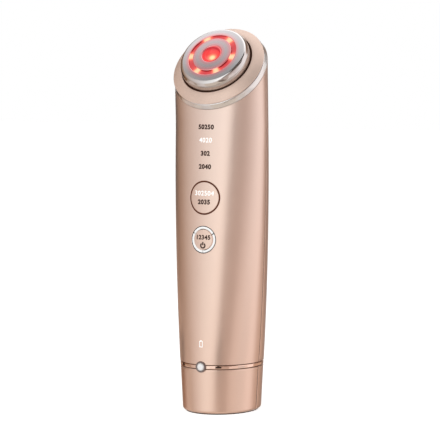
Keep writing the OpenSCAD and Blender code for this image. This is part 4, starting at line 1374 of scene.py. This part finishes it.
# The tent wall is open behind the object and graded round it: (degrees, tone)
TENT_GAP = 165
TENT_LEVEL = 1.12
TENT_RADIUS = 0.6
TENT_LOW = -0.36
TENT_HIGH = 0.75
TENT_STEPS = 120
FACING_CAMERA = (0, 0, math.radians(90) - TURN)
tent_tones = [(-165, (1.0, 1.0, 1.0)), (-160, (0.22, 0.12, 0.06)), (-140, (0.17, 0.08, 0.035))]
tent_tones += [(-116, (0.33, 0.20, 0.125)), (-90, (0.61, 0.52, 0.47)), (-66, (0.80, 0.745, 0.73))]
tent_tones += [(-45, (1.00, 1.00, 0.99)), (-20, (1.12, 1.12, 1.12)), (-11, (1.12, 1.12, 1.12))]
tent_tones += [(-4, (0.78, 0.68, 0.64)), (3, (0.54, 0.43, 0.385)), (20, (0.46, 0.36, 0.32))]
tent_tones += [(40, (0.68, 0.57, 0.54)), (60, (0.90, 0.82, 0.81)), (78, (1.08, 1.00, 0.99))]
tent_tones += [(100, (1.08, 0.97, 0.95)), (107, (0.54, 0.39, 0.32)), (118, (0.30, 0.19, 0.14))]
tent_tones += [(140, (0.25, 0.17, 0.13)), (160, (0.33, 0.27, 0.24)), (165, (1.0, 1.0, 1.0))]


def tent_wall_point(column, row):
    degrees = TENT_GAP - 2 * TENT_GAP * column / TENT_STEPS
    return around(degrees, TENT_RADIUS, TENT_LOW + (TENT_HIGH - TENT_LOW) * row) / MM


tent_wall = loft("tent_wall", TENT_STEPS, 1, tent_wall_point)
wall_paper, wall_tree, wall_shade = tent_paper("wall_paper")
wall_parts = parts_of(wall_tree, turned_place(wall_tree, FACING_CAMERA))
wall_angle = reckoned(wall_tree, "ARCTAN2", wall_parts["Y"], wall_parts["X"])
wall_stops = [(0, (1, 1, 1))]
for degrees, tone in tent_tones:
    wall_stops.append(((degrees + 180) / 360, [part / TENT_LEVEL for part in tone]))
wall_stops.append((1, (1, 1, 1)))
wall_grade = blended(wall_tree, share_of(wall_tree, wall_angle, -math.pi, math.pi), wall_stops)
wall_tree.links.new(wall_grade, wall_shade["Color"])
wall_shade["Strength"].default_value = TENT_LEVEL
hang_in_tent(tent_wall, wall_paper)


# The floor and the roof of the tent are round cards, graded along one line
def tent_card(name, height, turn, axis, low, high, stops):
    bpy.ops.object.select_all(action="DESELECT")
    bpy.ops.mesh.primitive_circle_add(vertices=64, radius=TENT_RADIUS, fill_type="NGON",
                                      location=(0, 0, height))
    bpy.ops.object.transform_apply(location=True, rotation=False, scale=False)
    bpy.context.object.name = name
    paper, tree, shade = tent_paper(name)
    along = parts_of(tree, turned_place(tree, turn))[axis]
    tree.links.new(blended(tree, share_of(tree, along, low, high), stops), shade["Color"])
    hang_in_tent(bpy.context.object, paper)
    return shade


floor_stops = [(0, (0.48, 0.40, 0.36)), (1, (0.78, 0.70, 0.66))]
tent_card("tent_floor", TENT_LOW, FACING_CAMERA, "X", -0.25, 0.15, floor_stops)


# Toned cards in the tent give the streaks in the polished metal; a pair of numbers is its two edges
CARD_STEPS = 24
NEAR_BLACK = (0.04, 0.03, 0.025)


def toned_card(name, degrees, distance, height, tone):
    def card_point(column, row):
        turn = degrees[1] + (degrees[0] - degrees[1]) * column / CARD_STEPS
        return around(turn, distance[row], height[row]) / MM

    card = loft(name, CARD_STEPS, 1, card_point)
    paper, tree, shade = tent_paper(name)
    shade["Color"].default_value = (*tone, 1)
    hang_in_tent(card, paper)


def upright_card(name, degrees, distance, height, tone):
    toned_card(name, degrees, (distance, distance), height, tone)


def level_card(name, degrees, distance, height, tone):
    toned_card(name, degrees, distance, (height, height), tone)


upright_card("pole_card", (-3.5, 2), 0.58, (0.03, 0.70), NEAR_BLACK)
upright_card("pole_foot_card", (-9, 3), 0.58, (-0.34, -0.05), (0.58, 0.48, 0.43))
upright_card("band_spot_card", (-9, 7), 0.13, (0.004, 0.0255), NEAR_BLACK)
upright_card("band_end_card", (-134, -116), 0.13, (0.004, 0.0255), NEAR_BLACK)
upright_card("high_front_card", (-25, -10.5), 0.58, (0.03, 0.40), (1.32, 1.31, 1.29))
upright_card("low_front_card", (-26, -9), 0.58, (-0.34, -0.05), (0.95, 0.90, 0.88))
level_card("arm_card", (-36, 75), (0.29, 0.59), 0.735, NEAR_BLACK)
upright_card("arm_drop_card", (0, 60), 0.575, (0.38, 0.62), NEAR_BLACK)
upright_card("left_edge_card", (-165, -138), 0.58, (0.06, 0.30), NEAR_BLACK)
upright_card("left_foot_card", (-165, -148), 0.58, (0.0, 0.055), (0.42, 0.30, 0.24))
upright_card("right_edge_card", (103, 118), 0.58, (0.05, 0.14), (0.30, 0.17, 0.11))
upright_card("right_foot_card", (102, 140), 0.58, (-0.12, -0.02), (0.60, 0.44, 0.35))
upright_card("side_foot_card", (38, 54), 0.56, (-0.15, 0.03), (0.88, 0.77, 0.73))
upright_card("far_side_foot_card", (54, 76), 0.56, (-0.03, 0.03), (1.08, 0.99, 0.97))
upright_card("under_camera_card", (-4, 26), 0.57, (-0.345, -0.22), (0.24, 0.18, 0.15))
upright_card("foot_edge_card", (-146, -118), 0.13, (-0.03, 0.004), (0.25, 0.10, 0.04))
upright_card("rim_end_card", (-150, -134), 0.57, (-0.13, -0.01), (0.65, 0.465, 0.365))
upright_card("rim_left_card", (-142, -100), 0.57, (-0.34, -0.07), (0.67, 0.537, 0.47))
level_card("rim_side_card", (-128, -88), (0.40, 0.59), -0.35, (0.743, 0.635, 0.557))
level_card("rim_front_card", (-60, 40), (0.16, 0.59), -0.35, (0.72, 0.61, 0.52))
upright_card("rim_right_card", (38, 56), 0.57, (-0.34, -0.15), (0.658, 0.584, 0.53))
upright_card("rim_turn_card", (54, 74), 0.57, (-0.15, -0.04), (0.728, 0.689, 0.68))
upright_card("rim_top_card", (99, 117), 0.58, (0.27, 0.40), (0.934, 0.90, 0.884))
upright_card("rim_last_card", (117, 140), 0.58, (0.28, 0.45), (0.447, 0.417, 0.405))
upright_card("low_left_card", (-140, -92), 0.58, (-0.34, -0.02), (0.46, 0.36, 0.29))
upright_card("low_centre_card", (3, 30), 0.58, (-0.34, -0.03), (0.56, 0.45, 0.40))
upright_card("low_right_card", (30, 82), 0.58, (-0.34, -0.03), (0.88, 0.77, 0.73))

roof_levels = [(0.09, 0.228), (0.216, 0.25), (0.354, 0.35), (0.538, 0.46)]
roof_levels += [(0.612, 0.53), (0.72, 0.57), (0.85, 0.72)]
roof_stops = [(0, (0.21, 0.203, 0.205))]
roof_stops += [(position, (level, 0.97 * level, 0.98 * level)) for position, level in roof_levels]
roof_stops += [(1, (1.0, 0.97, 0.97))]
roof_shade = tent_card("tent_roof", TENT_HIGH, (0, 0, math.radians(7)), "Y", -0.487, 0.313, roof_stops)
roof_shade["Strength"].default_value = 1.75


# The floor and the surround look brighter than the light that they give to the object
FLOOR_GLOW = 0.62
SKY_LIGHT = 0.5


def seen_by(tree, *rays):
    path = tree.nodes.new("ShaderNodeLightPath").outputs
    seen = path[rays[0]]
    for ray in rays[1:]:
        seen = reckoned(tree, "MAXIMUM", seen, path[ray])
    return seen


bpy.ops.object.select_all(action="DESELECT")
bpy.ops.mesh.primitive_plane_add(size=6)
floor = bpy.context.object
floor.name = "floor"
floor_paper = bpy.data.materials.new("floor_paper")
floor_paper.use_nodes = True
set_shader(floor_paper, {"Base Color": (0.9, 0.9, 0.9, 1), "Emission Color": WHITE})
set_shader(floor_paper, {"Roughness": 0.9, "Specular IOR Level": 0})
floor_tree = floor_paper.node_tree
seen_floor = seen_by(floor_tree, "Is Camera Ray", "Is Glossy Ray")
floor_glow = reckoned(floor_tree, "MULTIPLY", seen_floor, FLOOR_GLOW)
floor_tree.links.new(floor_glow, floor_tree.nodes["Principled BSDF"].inputs["Emission Strength"])
floor.data.materials.append(floor_paper)
floor.visible_glossy = False

surround = bpy.data.worlds.new("surround")
bpy.context.scene.world = surround
surround.use_nodes = True
sky_tree = surround.node_tree
sky = sky_tree.nodes["Background"].inputs
sky["Color"].default_value = WHITE
sky_level = sky_tree.nodes.new("ShaderNodeMapRange")
set_sockets(sky_level.inputs, {"To Min": SKY_LIGHT, "To Max": 1})
seen_sky = seen_by(sky_tree, "Is Camera Ray", "Is Glossy Ray", "Is Transmission Ray")
sky_tree.links.new(seen_sky, sky_level.inputs["Value"])
sky_tree.links.new(sky_level.outputs["Result"], sky["Strength"])

bpy.context.view_layer.update()
